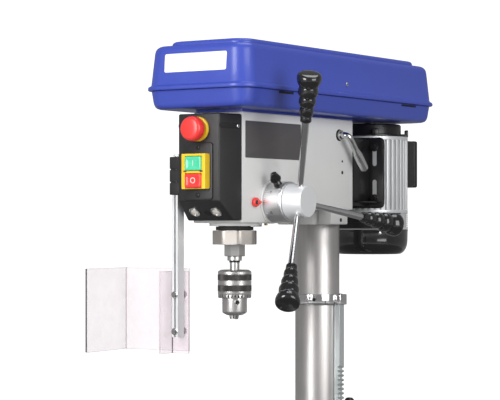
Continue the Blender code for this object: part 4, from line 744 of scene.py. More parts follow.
def build_panel():
    """The black front panel with its side channels and the two lamps on its lower slope."""
    back, front = PANEL_HIGH.y, PANEL_FACE
    base, top = PANEL_LOW.z, PANEL_HIGH.z
    profile = [(back, base), (front + SLOPE_RUN, base), (front, base + SLOPE_RISE), (front, top), (back, top)]
    body = prism(profile, -1, 1, "X")
    for vert in body.verts:
        vert.co.x *= panel_half(vert.co.y)
    soften(body, 0.0026, 3, 12)
    shown("panel_body", body, "black_plastic", "frame", ("front_panel",))

    # the side channels are dark slabs: painted shade of grooves in the panel
    channel = []
    for side in (-1, 1):
        start, end = front + 0.0005, back - 0.006
        y_mid = (start + end) / 2
        flare = math.atan2(panel_half(end) - panel_half(start), end - start)
        at = (side * (panel_half(y_mid) - 0.0010), y_mid, STOP.z + 0.006)
        length = end - start
        gutter = prism(
            rounded(-length / 2, length / 2, -0.0048, 0.0048, 0.0046, 8), -0.0012, 0.0012, "X", 0.0004)
        turn = Matrix.Translation(at) @ Matrix.Rotation(-side * flare, 4, "Z")
        channel.append(moved(gutter, turn))
    shown("panel_channels", merged(*channel), "dark_hole", "frame")
    for side in (-1, 1):
        at = (side * (panel_half(back - 0.010) + 0.0002), back - 0.0105, STOP.z + 0.006)
        marked_screw(
            f"panel_screw_{side + 2}", f"panel_screw_mark_{side + 2}", 0.0030, 0.0016, at, (side, -0.35, 0),
            "chrome", "frame")

    slope = Vector((0, -SLOPE_RISE, -SLOPE_RUN)).normalized()
    for index, x in enumerate((-0.0210, 0.0225)):
        z = base + 0.0145
        at = Vector((x, slope_front(z), z))
        bezel = moved(
            turned(
                [
                    (0.0070, -0.001), (0.0100, -0.001), (0.0100, 0.0014), (0.0088, 0.0024), (0.0074, 0.0018),
                    (0.0070, 0.0006)],
                hollow=True, sides=48),
            facing(slope, at))
        shown(f"panel_bezel_{index}", bezel, "chrome", "frame")
        lens = moved(
            turned(
                [(0, -0.001), (0.0071, -0.001), (0.0071, 0.0008), (0.0048, 0.0016), (0, 0.0019)], sides=40),
            facing(slope, at))
        shown(f"panel_lens_{index}", lens, "lens", "frame")
    # a dark oval: painted shade standing for a hole in the slope
    z = base + 0.0125
    oval = prism(rounded(-0.0066, 0.0066, -0.0058, 0.0058, 0.0057, 8), -0.0015, 0.0003)
    shown(
        "panel_oval_hole", moved(oval, facing(slope, (0.0045, slope_front(z), z))), "dark_hole", "frame")


build_panel()


def build_switch():
    """The switch plate, the yellow housing with its wells, and the two push buttons."""
    plate_low, plate_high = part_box("switch_plate")
    half_w, half_h = (plate_high.x - plate_low.x) / 2, (plate_high.z - plate_low.z) / 2
    plate = prism(
        rounded(-half_w, half_w, SWITCH.z - half_h, SWITCH.z + half_h, 0.005, 8), plate_low.y, plate_high.y,
        "Y", 0.0007)
    shown("switch_plate_finished", plate, "black_plastic", "frame", ("switch_plate",))
    # a dark border round the plate: painted shadow
    painted_shadow_outline = rounded(
        -half_w - 0.0012, half_w + 0.0012, SWITCH.z - half_h - 0.0012, SWITCH.z + half_h + 0.0012, 0.006, 8)
    shown(
        "switch_plate_shadow", prism(painted_shadow_outline, PANEL_FACE - 0.0005, PANEL_FACE + 0.001, "Y"), "dark_hole",
        "frame")
    for side in (-1, 1):
        at = (0, plate_low.y, SWITCH.z + side * 0.0395)
        # a dark cup round each screw: painted shade of its well
        cup = prism(
            rounded(-0.0046, 0.0046, at[2] - 0.0046, at[2] + 0.0046, 0.0045, 8), plate_low.y - 0.0002,
            plate_low.y + 0.001, "Y")
        shown(f"switch_screw_well_{side + 2}", cup, "dark_hole", "frame")
        shown(
            f"switch_screw_{side + 2}", cross_screw(0.0026, 0.0010, at, (0, -1, 0)), "black_paint", "frame")

    frame_low, frame_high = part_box("switch_housing")
    half_w, half_h = (frame_high.x - frame_low.x) / 2, (frame_high.z - frame_low.z) / 2
    face, back = frame_low.y, plate_low.y + 0.001
    wells = []
    for button in ("green_button", "red_button"):
        button_low, button_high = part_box(button)
        wells.append((button_low.z - 0.0008, button_high.z + 0.0008))
    well_half = high("green_button").x + 0.0008
    lower, upper = sorted(wells)
    floor = min(high("green_button").y + 0.0034, back - 0.0006)
    parts = [
        prism(rounded(-half_w, half_w, SWITCH.z - half_h, SWITCH.z + half_h, 0.0025, 6), floor, back, "Y")]
    frame_bm = bmesh.new()
    grid_x = [-half_w, -well_half, well_half, half_w]
    grid_z = [SWITCH.z - half_h, lower[0], lower[1], upper[0], upper[1], SWITCH.z + half_h]
    front_points = [[frame_bm.verts.new((x, face, z)) for z in grid_z] for x in grid_x]
    kept = []
    for i in range(3):
        for j in range(5):
            if i == 1 and j in (1, 3):
                continue
            kept.append(
                frame_bm.faces.new(
                    (
                        front_points[i][j], front_points[i + 1][j], front_points[i + 1][j + 1],
                        front_points[i][j + 1])))
    grown = bmesh.ops.extrude_face_region(frame_bm, geom=kept)
    pushed = [item for item in grown["geom"] if isinstance(item, bmesh.types.BMVert)]
    bmesh.ops.translate(frame_bm, verts=pushed, vec=(0, floor - face + 0.0005, 0))
    bmesh.ops.recalc_face_normals(frame_bm, faces=frame_bm.faces)
    soften(frame_bm, 0.0008, 3)
    parts.append(frame_bm)
    shown("switch_frame", merged(*parts), "yellow", "frame", ("switch_housing",))
    hinge = []
    for side in (-1, 1):
        hinge.append(
            block(
                (side * 0.0165 - 0.0028, face - 0.0008, SWITCH.z - 0.0012),
                (side * 0.0165 + 0.0028, face + 0.001, SWITCH.z + 0.0012), 0.0003))
    shown("switch_pivots", merged(*hinge), "ink", "frame")

    for button, sign, colour in (("green_button", "I", "sign_white"), ("red_button", "O", "sign_white")):
        button_low, button_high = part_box(button)
        middle = (button_low + button_high) / 2
        half_x, half_z = (button_high.x - button_low.x) / 2, (button_high.z - button_low.z) / 2
        front = button_low.y
        rings = []
        for inset, depth in (
                (0.0003, button_high.y - front), (0.0, 0.0022), (0.0003, 0.0012), (0.0010, 0.0004),
                (0.0020, 0.0), (0.0034, 0.0), (0.0048, 0.0006), (0.0068, 0.0011)):
            outline = rounded(
                -half_x + inset, half_x - inset, -half_z + inset, half_z - inset,
                max(0.0022 - inset * 0.15, 0.001), 4)
            rings.append([(x, front + depth, middle.z + z) for x, z in outline])
        slot_name = SLOT_OF[button]
        shown(button + "_finished", lofted(rings), slot_name, BODY_OF[button], (button,))
        turn = Matrix.Translation((0, front + 0.0010, middle.z)) @ Matrix.Rotation(math.radians(90), 4, "X")
        lettering(button + "_sign", sign, 0.0135, 0.0005, turn, colour, BODY_OF[button])


build_switch()


def build_stop():
    """The mushroom stop button with its ribbed rim and its yellow collar."""
    cap_low, cap_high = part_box("stop_button")
    collar_low, collar_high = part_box("stop_collar")
    radius = (cap_high.x - cap_low.x) / 2
    front, skirt = cap_low.y, collar_low.y - 0.0055
    profile = [
        (0, front), (radius * 0.45, front + 0.0003), (radius * 0.74, front + 0.0010),
        (radius * 0.86, front + 0.0019), (radius * 0.95, front + 0.0038), (radius, front + 0.0066),
        (radius, skirt - 0.0006), (radius - 0.0006, skirt), (0.0082, skirt), (0.0072, skirt + 0.0006),
        (0.0072, cap_high.y), (0, cap_high.y)]
    cap = turned(profile, (STOP.x, 0, STOP.z), "Y")
    shown("stop_cap", cap, "red", "stop_button", ("stop_button",))
    grips = []
    for index in range(28):
        angle = math.tau * index / 28
        rib = block((-0.00055, front + 0.0075, -0.0004), (0.00055, skirt - 0.0012, 0.0005), 0.0003)
        grips.append(
            moved(
                rib,
                Matrix.Translation(
                    (
                        STOP.x, 0,
                        STOP.z)) @ Matrix.Rotation(angle, 4, "Y") @ Matrix.Translation((0, 0, radius))))
    shown("stop_cap_ribs", merged(*grips), "red", "stop_button")
    face = collar_low.y
    ring_r = (collar_high.x - collar_low.x) / 2
    collar = turned(
        [
            (0.0080, face + 0.002), (0.0100, face + 0.0004), (ring_r - 0.0022, face),
            (ring_r - 0.0006, face + 0.0008), (ring_r, face + 0.0022), (ring_r, PANEL_FACE - 0.0002),
            (0.0110, PANEL_FACE - 0.0002), (0.0110, collar_high.y), (0.0080, collar_high.y)],
        (STOP.x, 0, STOP.z), "Y", hollow=True)
    shown("stop_collar_finished", collar, "yellow", "frame", ("stop_collar",))


build_stop()


# ---- feed: depth drum, hub and handles ----
HUB_HIGH = high("feed_hub")
DRUM_LOW, DRUM_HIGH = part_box("depth_collar")
HANDLE_LEAN = math.radians(17)
HANDLE_START = math.radians(109.7)
HANDLE_LENGTH = 0.232
HUB_FACE = HUB_HIGH.x
HUB_NEAR = DRUM_HIGH.x + 0.0003
HANDLE_ROOT = HUB_FACE - 0.0188


def feed_place(x):
    return (x, FEED.y, FEED.z)


def build_hub():
    sleeve = turned(
        [
            (0.0083, DRUM_LOW.x), (0.019, DRUM_LOW.x), (0.019, HUB_NEAR), (0.0300, HUB_NEAR),
            (0.0306, HUB_NEAR + 0.0004), (0.0308, HUB_NEAR + 0.0012), (0.0265, HUB_FACE - 0.0012),
            (0.0262, HUB_FACE - 0.0004), (0.0256, HUB_FACE), (0, HUB_FACE), (0, HUB_FACE - 0.0077),
            (0.0083, HUB_FACE - 0.0077)],
        feed_place(0), "X", hollow=True)
    shown("feed_hub_finished", sleeve, "pale_aluminium", "feed", ("feed_hub",))
    shaft_low, shaft_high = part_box("pinion_shaft")
    shown(
        "pinion_shaft_finished",
        merged(
            rod(0.0080, shaft_low.x, shaft_high.x, feed_place(0), "X", 40, 0.0005),
            rod(0.0124, -0.0125, 0.0125, feed_place(0), "X", 40)),
        "steel", "feed", ("pinion_shaft",))


build_hub()


def build_drum():
    """The depth drum with its scale, the lock knob and the red pointer."""
    near, far = DRUM_LOW.x, DRUM_HIGH.x
    radius = (DRUM_HIGH.y - DRUM_LOW.y) / 2
    rim = far - 0.0045
    profile = [
        (0.0193, near), (radius - 0.0006, near), (radius, near + 0.0006), (radius, rim - 0.0012),
        (radius - 0.0007, rim - 0.0009), (radius - 0.0007, rim), (radius, rim + 0.0003),
        (radius + 0.0001, rim + 0.0012), (radius - 0.0004, far - 0.0008), (radius - 0.0016, far),
        (radius - 0.0040, far), (radius - 0.0052, far - 0.0012), (0.0262, far - 0.0012),
        (0.0255, far - 0.0004), (0.0193, far - 0.0004)]
    shown(
        "depth_drum", turned(profile, feed_place(0), "X", hollow=True, sides=96), "aluminium",
        BODY_OF["depth_collar"], ("depth_collar",))
    marks = []
    for step in range(60):
        angle = math.tau * step / 60 + math.radians(3)
        long_mark = step % 10 == 0
        length = 0.0085 if long_mark else 0.0062 if step % 5 == 0 else 0.0040
        mark = block(
            (near + 0.0012, -0.00013, radius - 0.0003), (near + 0.0012 + length, 0.00013, radius + 0.00006))
        marks.append(moved(mark, Matrix.Translation((0, FEED.y, FEED.z)) @ Matrix.Rotation(angle, 4, "X")))
    shown("depth_drum_marks", merged(*marks), "ink", BODY_OF["depth_collar"])
    for step in range(6):
        angle = math.tau * step / 6 + math.radians(3)
        turn = (
            Matrix.Translation((0, FEED.y, FEED.z)) @ Matrix.Rotation(angle, 4, "X") @ Matrix.Translation(
                (near + 0.0135, 0, radius + 0.00002)) @ Matrix.Rotation(math.radians(90), 4, "Z"))
        lettering(
            f"depth_number_{step * 10}", str(step * 10), 0.0055, 0.0002, turn, "ink", BODY_OF["depth_collar"])

    knob_x = centre("depth_lock_knob").x
    turn = Matrix.Translation((knob_x, FEED.y, FEED.z)) @ Matrix.Rotation(math.radians(38), 4, "X")
    body = turned(
        [
            (0, 0.030), (0.004, 0.030), (0.004, 0.0356), (0.0066, 0.0356), (0.0074, 0.0362), (0.0076, 0.0372),
            (0.0064, 0.0415), (0.0050, 0.0440), (0, 0.0440)],
        sides=36)
    outline = []
    for u, v in (
            (-0.0035, 0.040), (0.0035, 0.040), (0.0056, 0.0450), (0.0088, 0.0500), (0.0094, 0.0530),
            (0.0076, 0.0570), (0.0058, 0.0610), (0.0048, 0.0640), (0.0020, 0.0648), (-0.0020, 0.0648),
            (-0.0048, 0.0640), (-0.0058, 0.0610), (-0.0076, 0.0570), (-0.0094, 0.0530), (-0.0088, 0.0500),
            (-0.0056, 0.0450)):
        outline.append((u, v - 0.0038))
    wing = prism(outline, -0.0036, 0.0036, "Y", 0.0016, 3, 40)
    wing = moved(wing, Matrix.Rotation(math.radians(35), 4, "Z"))
    shown(
        "depth_knob_finished", moved(merged(body, wing), turn), "black_gloss", BODY_OF["depth_lock_knob"],
        ("depth_lock_knob",))

    pointer_low, pointer_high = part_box("depth_pointer")
    y, z = pointer_low.y + 0.0076, (pointer_low.z + pointer_high.z) / 2
    angles = [math.radians(55 + 25 * step) for step in range(11)]
    outline = [(y + 0.0080 * math.cos(angle), z + 0.0080 * math.sin(angle)) for angle in angles]
    tip = pointer_high.y + 0.0012
    outline += [(y + 0.012, z - 0.0026), (tip, z - 0.0008), (tip, z + 0.0008), (y + 0.012, z + 0.0026)]
    shown(
        "depth_pointer_finished", prism(outline, pointer_low.x, pointer_high.x - 0.001, "X", 0.0008, 2, 50),
        "red", "frame", ("depth_pointer",))
    screw = cross_screw(0.0036, 0.0012, (pointer_high.x - 0.0013, y, z), (1, 0, 0))
    shown("depth_pointer_screw", screw, "black_paint", "frame")


build_drum()


GRIP_LENGTH = 0.086
SWELLS = ((0.0170, 0.0118), (0.0350, 0.0143), (0.0520, 0.0168), (0.0770, 0.0207))
WAISTS = ((0.0095, 0.0088), (0.0262, 0.0106), (0.0438, 0.0128), (0.0625, 0.0152))


def grip_profile(start):
    """The grip's collar, its growing swells and its round end, as (radius, height) points."""
    profile = [
        (0.0065, start), (0.0086, start), (0.0095, start + 0.0010), (0.0096, start + 0.0040),
        (0.0094, start + 0.0078)]
    for swell, (middle, radius) in enumerate(SWELLS):
        before, waist = WAISTS[swell]
        for step in range(8):
            share = step / 8
            swollen = math.sin(share * math.pi / 2) ** 0.75
            profile.append((waist + (radius - waist) * swollen, start + before + (middle - before) * share))
        if swell == len(SWELLS) - 1:
            break
        after, narrow = WAISTS[swell + 1]
        for step in range(8):
            share = step / 8
            fallen = math.cos(share * math.pi / 2) ** 0.75
            profile.append((narrow + (radius - narrow) * fallen, start + middle + (after - middle) * share))
    end = start + GRIP_LENGTH
    profile += [
        (0.0207, end - 0.0090), (0.0205, end - 0.0062), (0.0196, end - 0.0036), (0.0176, end - 0.0018),
        (0.0140, end - 0.0007), (0.0080, end - 0.0001), (0, end)]
    return profile


def build_handles():
    """Three leaning rods with ribbed grips."""
    for handle in range(3):
        angle = HANDLE_START + handle * math.radians(120)
        along = Vector(
            (
                math.sin(HANDLE_LEAN), math.cos(HANDLE_LEAN) * math.cos(angle),
                math.cos(HANDLE_LEAN) * math.sin(angle)))
        turn = facing(along, feed_place(HANDLE_ROOT))
        grip_start = HANDLE_LENGTH - GRIP_LENGTH
        bar = turned(
            [
                (0, 0.0150), (0.0048, 0.0150), (0.0062, grip_start - 0.010), (0.0060, grip_start + 0.022),
                (0, grip_start + 0.022)],
            sides=40)
        number = handle + 1
        shown(
            f"feed_rod_{number}_finished", moved(bar, turn), "chrome", "feed",
            (f"feed_rod_{number}",))
        grip = turned(
            [(0, grip_start + 0.0225), (0.0065, grip_start + 0.0225)] + grip_profile(grip_start), sides=56)
        shown(
            f"feed_grip_{number}_finished", moved(grip, turn), "black_gloss", "feed",
            (f"feed_grip_{number}",))


build_handles()


def build_spring_cup():
    """The return spring's cup on the left side."""
    cup_low, cup_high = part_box("spring_housing")
    near, far = cup_high.x, cup_low.x
    radius = (cup_high.y - cup_low.y) / 2
    profile = [
        (0.0083, near), (radius - 0.0005, near), (radius, near - 0.0005), (radius, near - 0.020),
        (radius - 0.0012, near - 0.0235), (radius - 0.0036, near - 0.0292), (radius - 0.0055, near - 0.0312),
        (radius - 0.0080, far), (0, far), (0, far + 0.0025), (0.028, far + 0.0025), (0.033, near - 0.021),
        (0.033, near - 0.003), (0.0083, near - 0.003)]
    shown(
        "spring_cup", turned(profile, feed_place(0), "X", hollow=True), "black_paint", "frame",
        ("spring_housing",))
    # the notches are dark blocks: painted shade standing for the cuts in the cup
    notches = []
    for step in range(6):
        angle = math.tau * step / 6
        notch = block(
            (near - 0.0026, -0.0030, radius - 0.002), (near - 0.0004, 0.0030, radius + 0.0003), 0.0004)
        notches.append(moved(notch, Matrix.Translation((0, FEED.y, FEED.z)) @ Matrix.Rotation(angle, 4, "X")))
    shown("spring_cup_notches", merged(*notches), "dark_hole", "frame")
    nut = moved(
        turned([(0, 0), (0.0092, 0), (0.0092, 0.0055), (0.0080, 0.0065), (0, 0.0065)], sides=6),
        facing((-1, 0, 0), feed_place(far)))
    stud = moved(rod(0.0048, 0, 0.0105, edge=0.0005), facing((-1, 0, 0), feed_place(far)))
    shown("spring_cup_nut", merged(nut, stud), "chrome", "frame")


build_spring_cup()


# ---- quill, spindle and chuck ----
COLLAR_LOW, COLLAR_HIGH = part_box("quill_collar")
SLEEVE_LOW, SLEEVE_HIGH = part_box("chuck_sleeve")
CHUCK_LOW, CHUCK_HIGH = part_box("chuck_body")
AXIS = (SPINDLE.x, SPINDLE.y, 0)
COLLAR_FLATS = 0.945         # distance across the quill collar's flats, as a share of its diameter
COLLAR_TURN = math.radians(23.2)
KEY_HOLE_START = -44
KEY_TEETH = 30
KNURL_SIDES = 180


def build_quill():
    """The quill, its eight-sided collar with a split, and the rubber bumper."""
    quill_low, quill_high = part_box("quill")
    radius = (quill_high.x - quill_low.x) / 2
    body = tube(0.0215, radius, quill_low.z, quill_high.z, AXIS, edge=0.0004)
    shown("quill_finished", body, "steel", "quill", ("quill",))
    outer = (COLLAR_HIGH.x - COLLAR_LOW.x) / 2
    body = turned(
        [
            (0.0192, COLLAR_LOW.z), (outer - 0.0012, COLLAR_LOW.z), (outer - 0.0003, COLLAR_LOW.z + 0.0004),
            (outer, COLLAR_LOW.z + 0.0013), (outer, COLLAR_HIGH.z - 0.0013),
            (outer - 0.0003, COLLAR_HIGH.z - 0.0004), (outer - 0.0012, COLLAR_HIGH.z),
            (0.0278, COLLAR_HIGH.z), (0.0278, COLLAR_LOW.z + 0.0055), (0.0192, COLLAR_LOW.z + 0.0055)],
        AXIS, hollow=True, sides=96)
    for side in range(8):
        angle = COLLAR_TURN + math.radians(45 * side)
        out = outward(angle)
        for vert in body.verts:
            past = (vert.co - Vector(AXIS)).dot(out) - outer * COLLAR_FLATS
            if past > 0:
                vert.co -= out * past
    shown("quill_collar_finished", body, "warm_steel", "quill", ("quill_collar",))
    # the split is a dark block: painted shade of the slit in the collar
    split = block(
        (outer * 0.90, -0.0010, COLLAR_LOW.z + 0.0003),
        (outer * COLLAR_FLATS + 0.0001, 0.0010, COLLAR_HIGH.z - 0.0003))
    moved(split, around(AXIS, COLLAR_TURN))
    shown("quill_collar_split", split, "dark_hole", "quill")
    bumper_low, bumper_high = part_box("quill_bumper")
    shown(
        "quill_bumper_finished",
        tube(radius + 0.0003, 0.0320, bumper_low.z, bumper_high.z, AXIS, edge=0.0008), "rubber", "quill",
        ("quill_bumper",))


build_quill()


def build_spindle():
    """The spindle with its step, its eight flats and a dark ring."""
    end = high("spindle").z
    top = CHUCK_HIGH.z + 0.001
    base = COLLAR_LOW.z
    profile = [
        (0, top - 0.020), (0.0075, top - 0.020), (0.0082, top + 0.0010), (0.0082, base - 0.0196),
        (0.010, base - 0.0196), (0.010, end - 0.0012), (0.0088, end), (0, end)]
    shaft = turned(profile, AXIS)
    step = turned(
        [
            (0.0083, base - 0.0274), (0.0118, base - 0.0274), (0.0124, base - 0.0268),
            (0.0124, base - 0.0202), (0.0083, base - 0.0202)],
        AXIS, hollow=True)
    flats = turned(
        [
            (0.0101, base - 0.0200), (0.0176, base - 0.0200), (0.0188, base - 0.0190),
            (0.0188, base + 0.0062), (0.0101, base + 0.0062)],
        sides=8, hollow=True)
    moved(flats, around(AXIS, math.radians(-32)))
    shown("spindle_finished", merged(shaft, step, flats), "chuck_steel", "spindle", ("spindle",))
    ring = tube(0.0083, 0.0092, base - 0.0304, base - 0.0276, AXIS)
    shown("spindle_ring", ring, "ink", "spindle")


build_spindle()


def build_chuck():
    """The chuck's body with three key holes, its knurled and toothed sleeve, and the jaws."""
    low_z, top_z = SLEEVE_LOW.z, SLEEVE_HIGH.z
    nose = CHUCK_LOW.z
    radius = (SLEEVE_HIGH.x - SLEEVE_LOW.x) / 2
    body = turned(
        [
            (0.0075, nose + 0.004), (0.0078, nose + 0.0004), (0.0088, nose), (0.0128, nose),
            (0.0140, nose + 0.0006), (0.0196, nose + 0.0034), (0.0207, nose + 0.0050),
            (0.0210, nose + 0.0066), (0.0210, low_z + 0.004), (0.0210, CHUCK_HIGH.z), (0.0085, CHUCK_HIGH.z)],
        AXIS, hollow=True, sides=96)
    shown("chuck_body_finished", body, "chuck_steel", "spindle", ("chuck_body",))
    # the key holes are dark discs of painted shade; the steel rims round them are the real shape
    holes, rims = [], []
    for index in range(3):
        out = outward(math.radians(KEY_HOLE_START + 120 * index))
        turn = facing(out, Vector(AXIS) + out * 0.0195 + Vector((0, 0, nose + 0.0222)))
        holes.append(moved(rod(0.0036, 0, 0.00165, sides=32), turn))
        rim = turned(
            [(0.0034, 0), (0.0044, 0), (0.0044, 0.0015), (0.0040, 0.0018), (0.0034, 0.0018)], sides=32,
            hollow=True)
        rims.append(moved(rim, turn))
    shown("chuck_key_holes", merged(*holes), "dark_hole", "spindle")
    shown("chuck_key_hole_rims", merged(*rims), "steel", "spindle")

    teeth_high = low_z + 0.0062
    bands = ((top_z - 0.0176, top_z - 0.0080), (top_z - 0.0360, top_z - 0.0263))
    profile = [
        (0.0213, teeth_high - 0.001), (radius - 0.0012, teeth_high - 0.001), (radius - 0.0003, teeth_high),
        (radius, teeth_high + 0.0006)]
    for start, end in reversed(bands):
        profile += [
            (radius, start - 0.0009), (radius - 0.0008, start - 0.0004), (radius - 0.0008, end + 0.0004),
            (radius, end + 0.0009)]
    profile += [
        (radius, top_z - 0.0034), (radius - 0.0008, top_z - 0.0024), (radius - 0.0042, top_z - 0.0004),
        (radius - 0.0055, top_z), (0.0213, top_z), (0.0213, top_z - 0.008), (radius - 0.0028, top_z - 0.011),
        (radius - 0.0028, low_z + 0.0105), (0.0213, low_z + 0.0075)]
    shown(
        "chuck_sleeve_finished", turned(profile, AXIS, hollow=True, sides=96), "chuck_steel", "chuck_sleeve",
        ("chuck_sleeve",))
    for index, (start, end) in enumerate(bands):
        rings = []
        for z, reach in (
                (start, radius - 0.0024), (start, radius - 0.0003), (end, radius - 0.0003),
                (end, radius - 0.0024)):
            ring = []
            for side in range(KNURL_SIDES):
                angle = math.tau * side / KNURL_SIDES
                out = reach + (0.0006 if side % 2 and reach > radius - 0.001 else 0)
                ring.append((AXIS[0] + out * math.cos(angle), AXIS[1] + out * math.sin(angle), z))
            rings.append(ring)
        shown(f"chuck_knurl_{index}", lofted(rings, False), "knurl", "chuck_sleeve", sharp=20)
    teeth = []
    inner, outer = radius - 0.0060, radius - 0.0004
    width = math.tau * outer / KEY_TEETH
    high_half, low_half = width * 0.42, width * 0.16
    for index in range(KEY_TEETH):
        angle = math.tau * index / KEY_TEETH
        rings = []
        for z, half in (
                (teeth_high + 0.0004, high_half), (low_z + 0.0012, low_half), (low_z, low_half * 0.7)):
            drop = 0.0012 if z == low_z else 0.0
            rings.append(
                [
                    (inner, -half * 0.8, z), (outer - drop, -half, z), (outer - drop, half, z),
                    (inner, half * 0.8, z)])
        teeth.append(moved(lofted(rings), around(AXIS, angle)))
    shown("chuck_key_teeth", merged(*teeth), "chuck_steel", "chuck_sleeve")
    gap = tube(0.0211, radius - 0.0058, teeth_high - 0.0040, teeth_high - 0.0006, AXIS)
    shown("chuck_teeth_ground", gap, "knurl", "chuck_sleeve")

    for jaw in (1, 2, 3):
        softened_copy(f"chuck_jaw_{jaw}", 0.0003, 1)


build_chuck()


# ---- motor, its plate and the tension lever ----
MOTOR_RADIUS = 0.071
MOTOR_FINS = 40
VENT_GROOVES = 7
MOTOR_AT = (0, MOTOR.y, 0)
COWL_LOW, COWL_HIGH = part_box("motor_bottom_cap")
SHIELD_LOW, SHIELD_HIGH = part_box("motor_top_cap")
FINS_LOW, FINS_HIGH = COWL_HIGH.z + 0.0303, high("motor_body").z
PLATE_SLOT_X, PLATE_SLOT_INSET = 0.062, 0.033
PLATE_ARM_X, PLATE_WEB_X = 0.048, 0.074
PULLEY_STEP = 0.0125


def build_fins():
    """The finned body with its end rings and feet."""
    radius = MOTOR_RADIUS
    core = radius - 0.0050
    parts = [rod(core, FINS_LOW, FINS_HIGH, MOTOR_AT, sides=ROUND)]
    for fin in range(MOTOR_FINS):
        angle = math.tau * (fin + 0.5) / MOTOR_FINS
        blade = block(
            (core - 0.001, -0.0033, FINS_LOW + 0.0015), (radius, 0.0033, FINS_HIGH - 0.0015), 0.0014, 3)
        parts.append(moved(blade, around(MOTOR_AT, angle)))
    for start, end in ((FINS_LOW, FINS_LOW + 0.006), (FINS_HIGH - 0.007, FINS_HIGH)):
        parts.append(tube(core - 0.002, radius + 0.0004, start, end, MOTOR_AT, edge=0.0008))
    foot_y = high("motor_plate").y + 0.0003
    for side in (-1, 1):
        for z in (FINS_LOW + 0.030, FINS_HIGH - 0.034):
            parts.append(
                block(
                    (min(side * 0.024, side * 0.050), foot_y, z - 0.012),
                    (max(side * 0.024, side * 0.050), MOTOR.y - 0.040, z + 0.012), 0.002))
    shown("motor_finned_body", merged(*parts), "silver_paint", "motor", ("motor_body",))


build_fins()


def build_vent_rings():
    """The grooved ring between the body and the cowl: black painted shade over its front half, bare metal
    round the rest.
    """
    radius = MOTOR_RADIUS
    vent_low = COWL_HIGH.z + 0.0003
    count = VENT_GROOVES
    pitch = (FINS_LOW - vent_low - 0.003) / count
    # the first sweep is painted shade: the ring's front half drawn black where it lies in shade; the second
    # is the ring's bare metal
    for name, start, span, rim, look in (
            ("motor_vent_painted_shade", -172, 166, 0.0000, "black_plastic"),
            ("motor_vent_ring", -6, 194, 0.0008, "silver_paint")):
        section = [
            (radius * 0.6, vent_low), (radius - 0.0006 + rim, vent_low), (radius + rim, vent_low + 0.0008)]
        for groove in range(count):
            level = vent_low + 0.0015 + groove * pitch
            section += [
                (radius + rim, level), (radius + rim, level + pitch * 0.58),
                (radius - 0.0024, level + pitch * 0.66), (radius - 0.0024, level + pitch * 0.94)]
        section += [(radius + rim, FINS_LOW - 0.001), (radius, FINS_LOW), (radius * 0.6, FINS_LOW)]
        rings = []
        for step in range(61):
            angle = math.radians(start + span * step / 60)
            rings.append(
                [(reach * math.cos(angle), MOTOR.y + reach * math.sin(angle), z) for reach, z in section]
            )
        shown(name, lofted(rings), look, "motor")


build_vent_rings()


def build_cowl():
    """The fan's cowl with its rings of vents and four screws."""
    radius = MOTOR_RADIUS
    tall = COWL_HIGH.z - COWL_LOW.z
    profile = [(0, COWL_LOW.z + 0.0006), (radius * 0.70, COWL_LOW.z)]
    for step in range(9):
        angle = math.radians(90 * step / 8)
        profile.append(
            (
                radius * 0.76 + radius * 0.24 * math.sin(angle),
                COWL_LOW.z + tall * 0.55 * (1 - math.cos(angle))))
    profile += [
        (radius + 0.0004, COWL_HIGH.z - 0.004), (radius + 0.0008, COWL_HIGH.z - 0.0030),
        (radius + 0.0008, COWL_HIGH.z - 0.0006), (radius, COWL_HIGH.z), (0, COWL_HIGH.z)]
    shown(
        "motor_fan_cowl", turned(profile, MOTOR_AT, sides=96), "black_gloss", "motor",
        ("motor_bottom_cap",))
    # the vents are dark slots: painted shade standing for the openings in the cowl
    vents = []
    for ring_r, number, length in ((0.018, 8, 0.008), (0.032, 14, 0.010), (0.046, 20, 0.010)):
        for index in range(number):
            vent = prism(
                rounded(ring_r - length / 2, ring_r + length / 2, -0.0016, 0.0016, 0.0015, 4),
                COWL_LOW.z - 0.0001, COWL_LOW.z + 0.002)
            vents.append(moved(vent, around(MOTOR_AT, math.tau * index / number)))
    shown("motor_cowl_vents", merged(*vents), "dark_hole", "motor")
    for index in range(4):
        angle = math.radians(45 + 90 * index)
        out = outward(angle)
        at = Vector((0, MOTOR.y, COWL_HIGH.z - 0.0075)) + out * (radius - 0.0006)
        marked_screw(
            f"motor_cowl_screw_{index}", f"motor_cowl_screw_mark_{index}", 0.0034, 0.0022, at, out, "steel",
            "motor")


build_cowl()


def build_shield():
    """The stepped end shield on top and its four lugs."""
    radius = MOTOR_RADIUS
    inner, cap = 0.0105, 0.0585
    profile = [
        (inner, SHIELD_LOW.z), (radius - 0.0004, SHIELD_LOW.z), (radius - 0.0004, SHIELD_LOW.z + 0.0030),
        (cap + 0.0012, SHIELD_LOW.z + 0.0034), (cap, SHIELD_LOW.z + 0.0046), (cap, SHIELD_HIGH.z - 0.0022),
        (cap - 0.0022, SHIELD_HIGH.z), (inner, SHIELD_HIGH.z)]
    shown(
        "motor_end_shield", turned(profile, MOTOR_AT, hollow=True, sides=96, edge=0.0004), "black_paint",
        "motor", ("motor_top_cap",))
    lugs = []
    for index in range(4):
        angle = math.radians(38 + 90 * index)
        for lug in (
                block(
                    (cap - 0.003, -0.0060, SHIELD_LOW.z), (radius + 0.0015, 0.0060, SHIELD_LOW.z + 0.0060),
                    0.0012),
                block(
                    (radius - 0.0045, -0.0060, SHIELD_LOW.z + 0.0005),
                    (radius + 0.0015, 0.0060, SHIELD_LOW.z + 0.0135), 0.0014)):
            lugs.append(moved(lug, around(MOTOR_AT, angle)))
    shown("motor_shield_lugs", merged(*lugs), "black_paint", "motor")


build_shield()


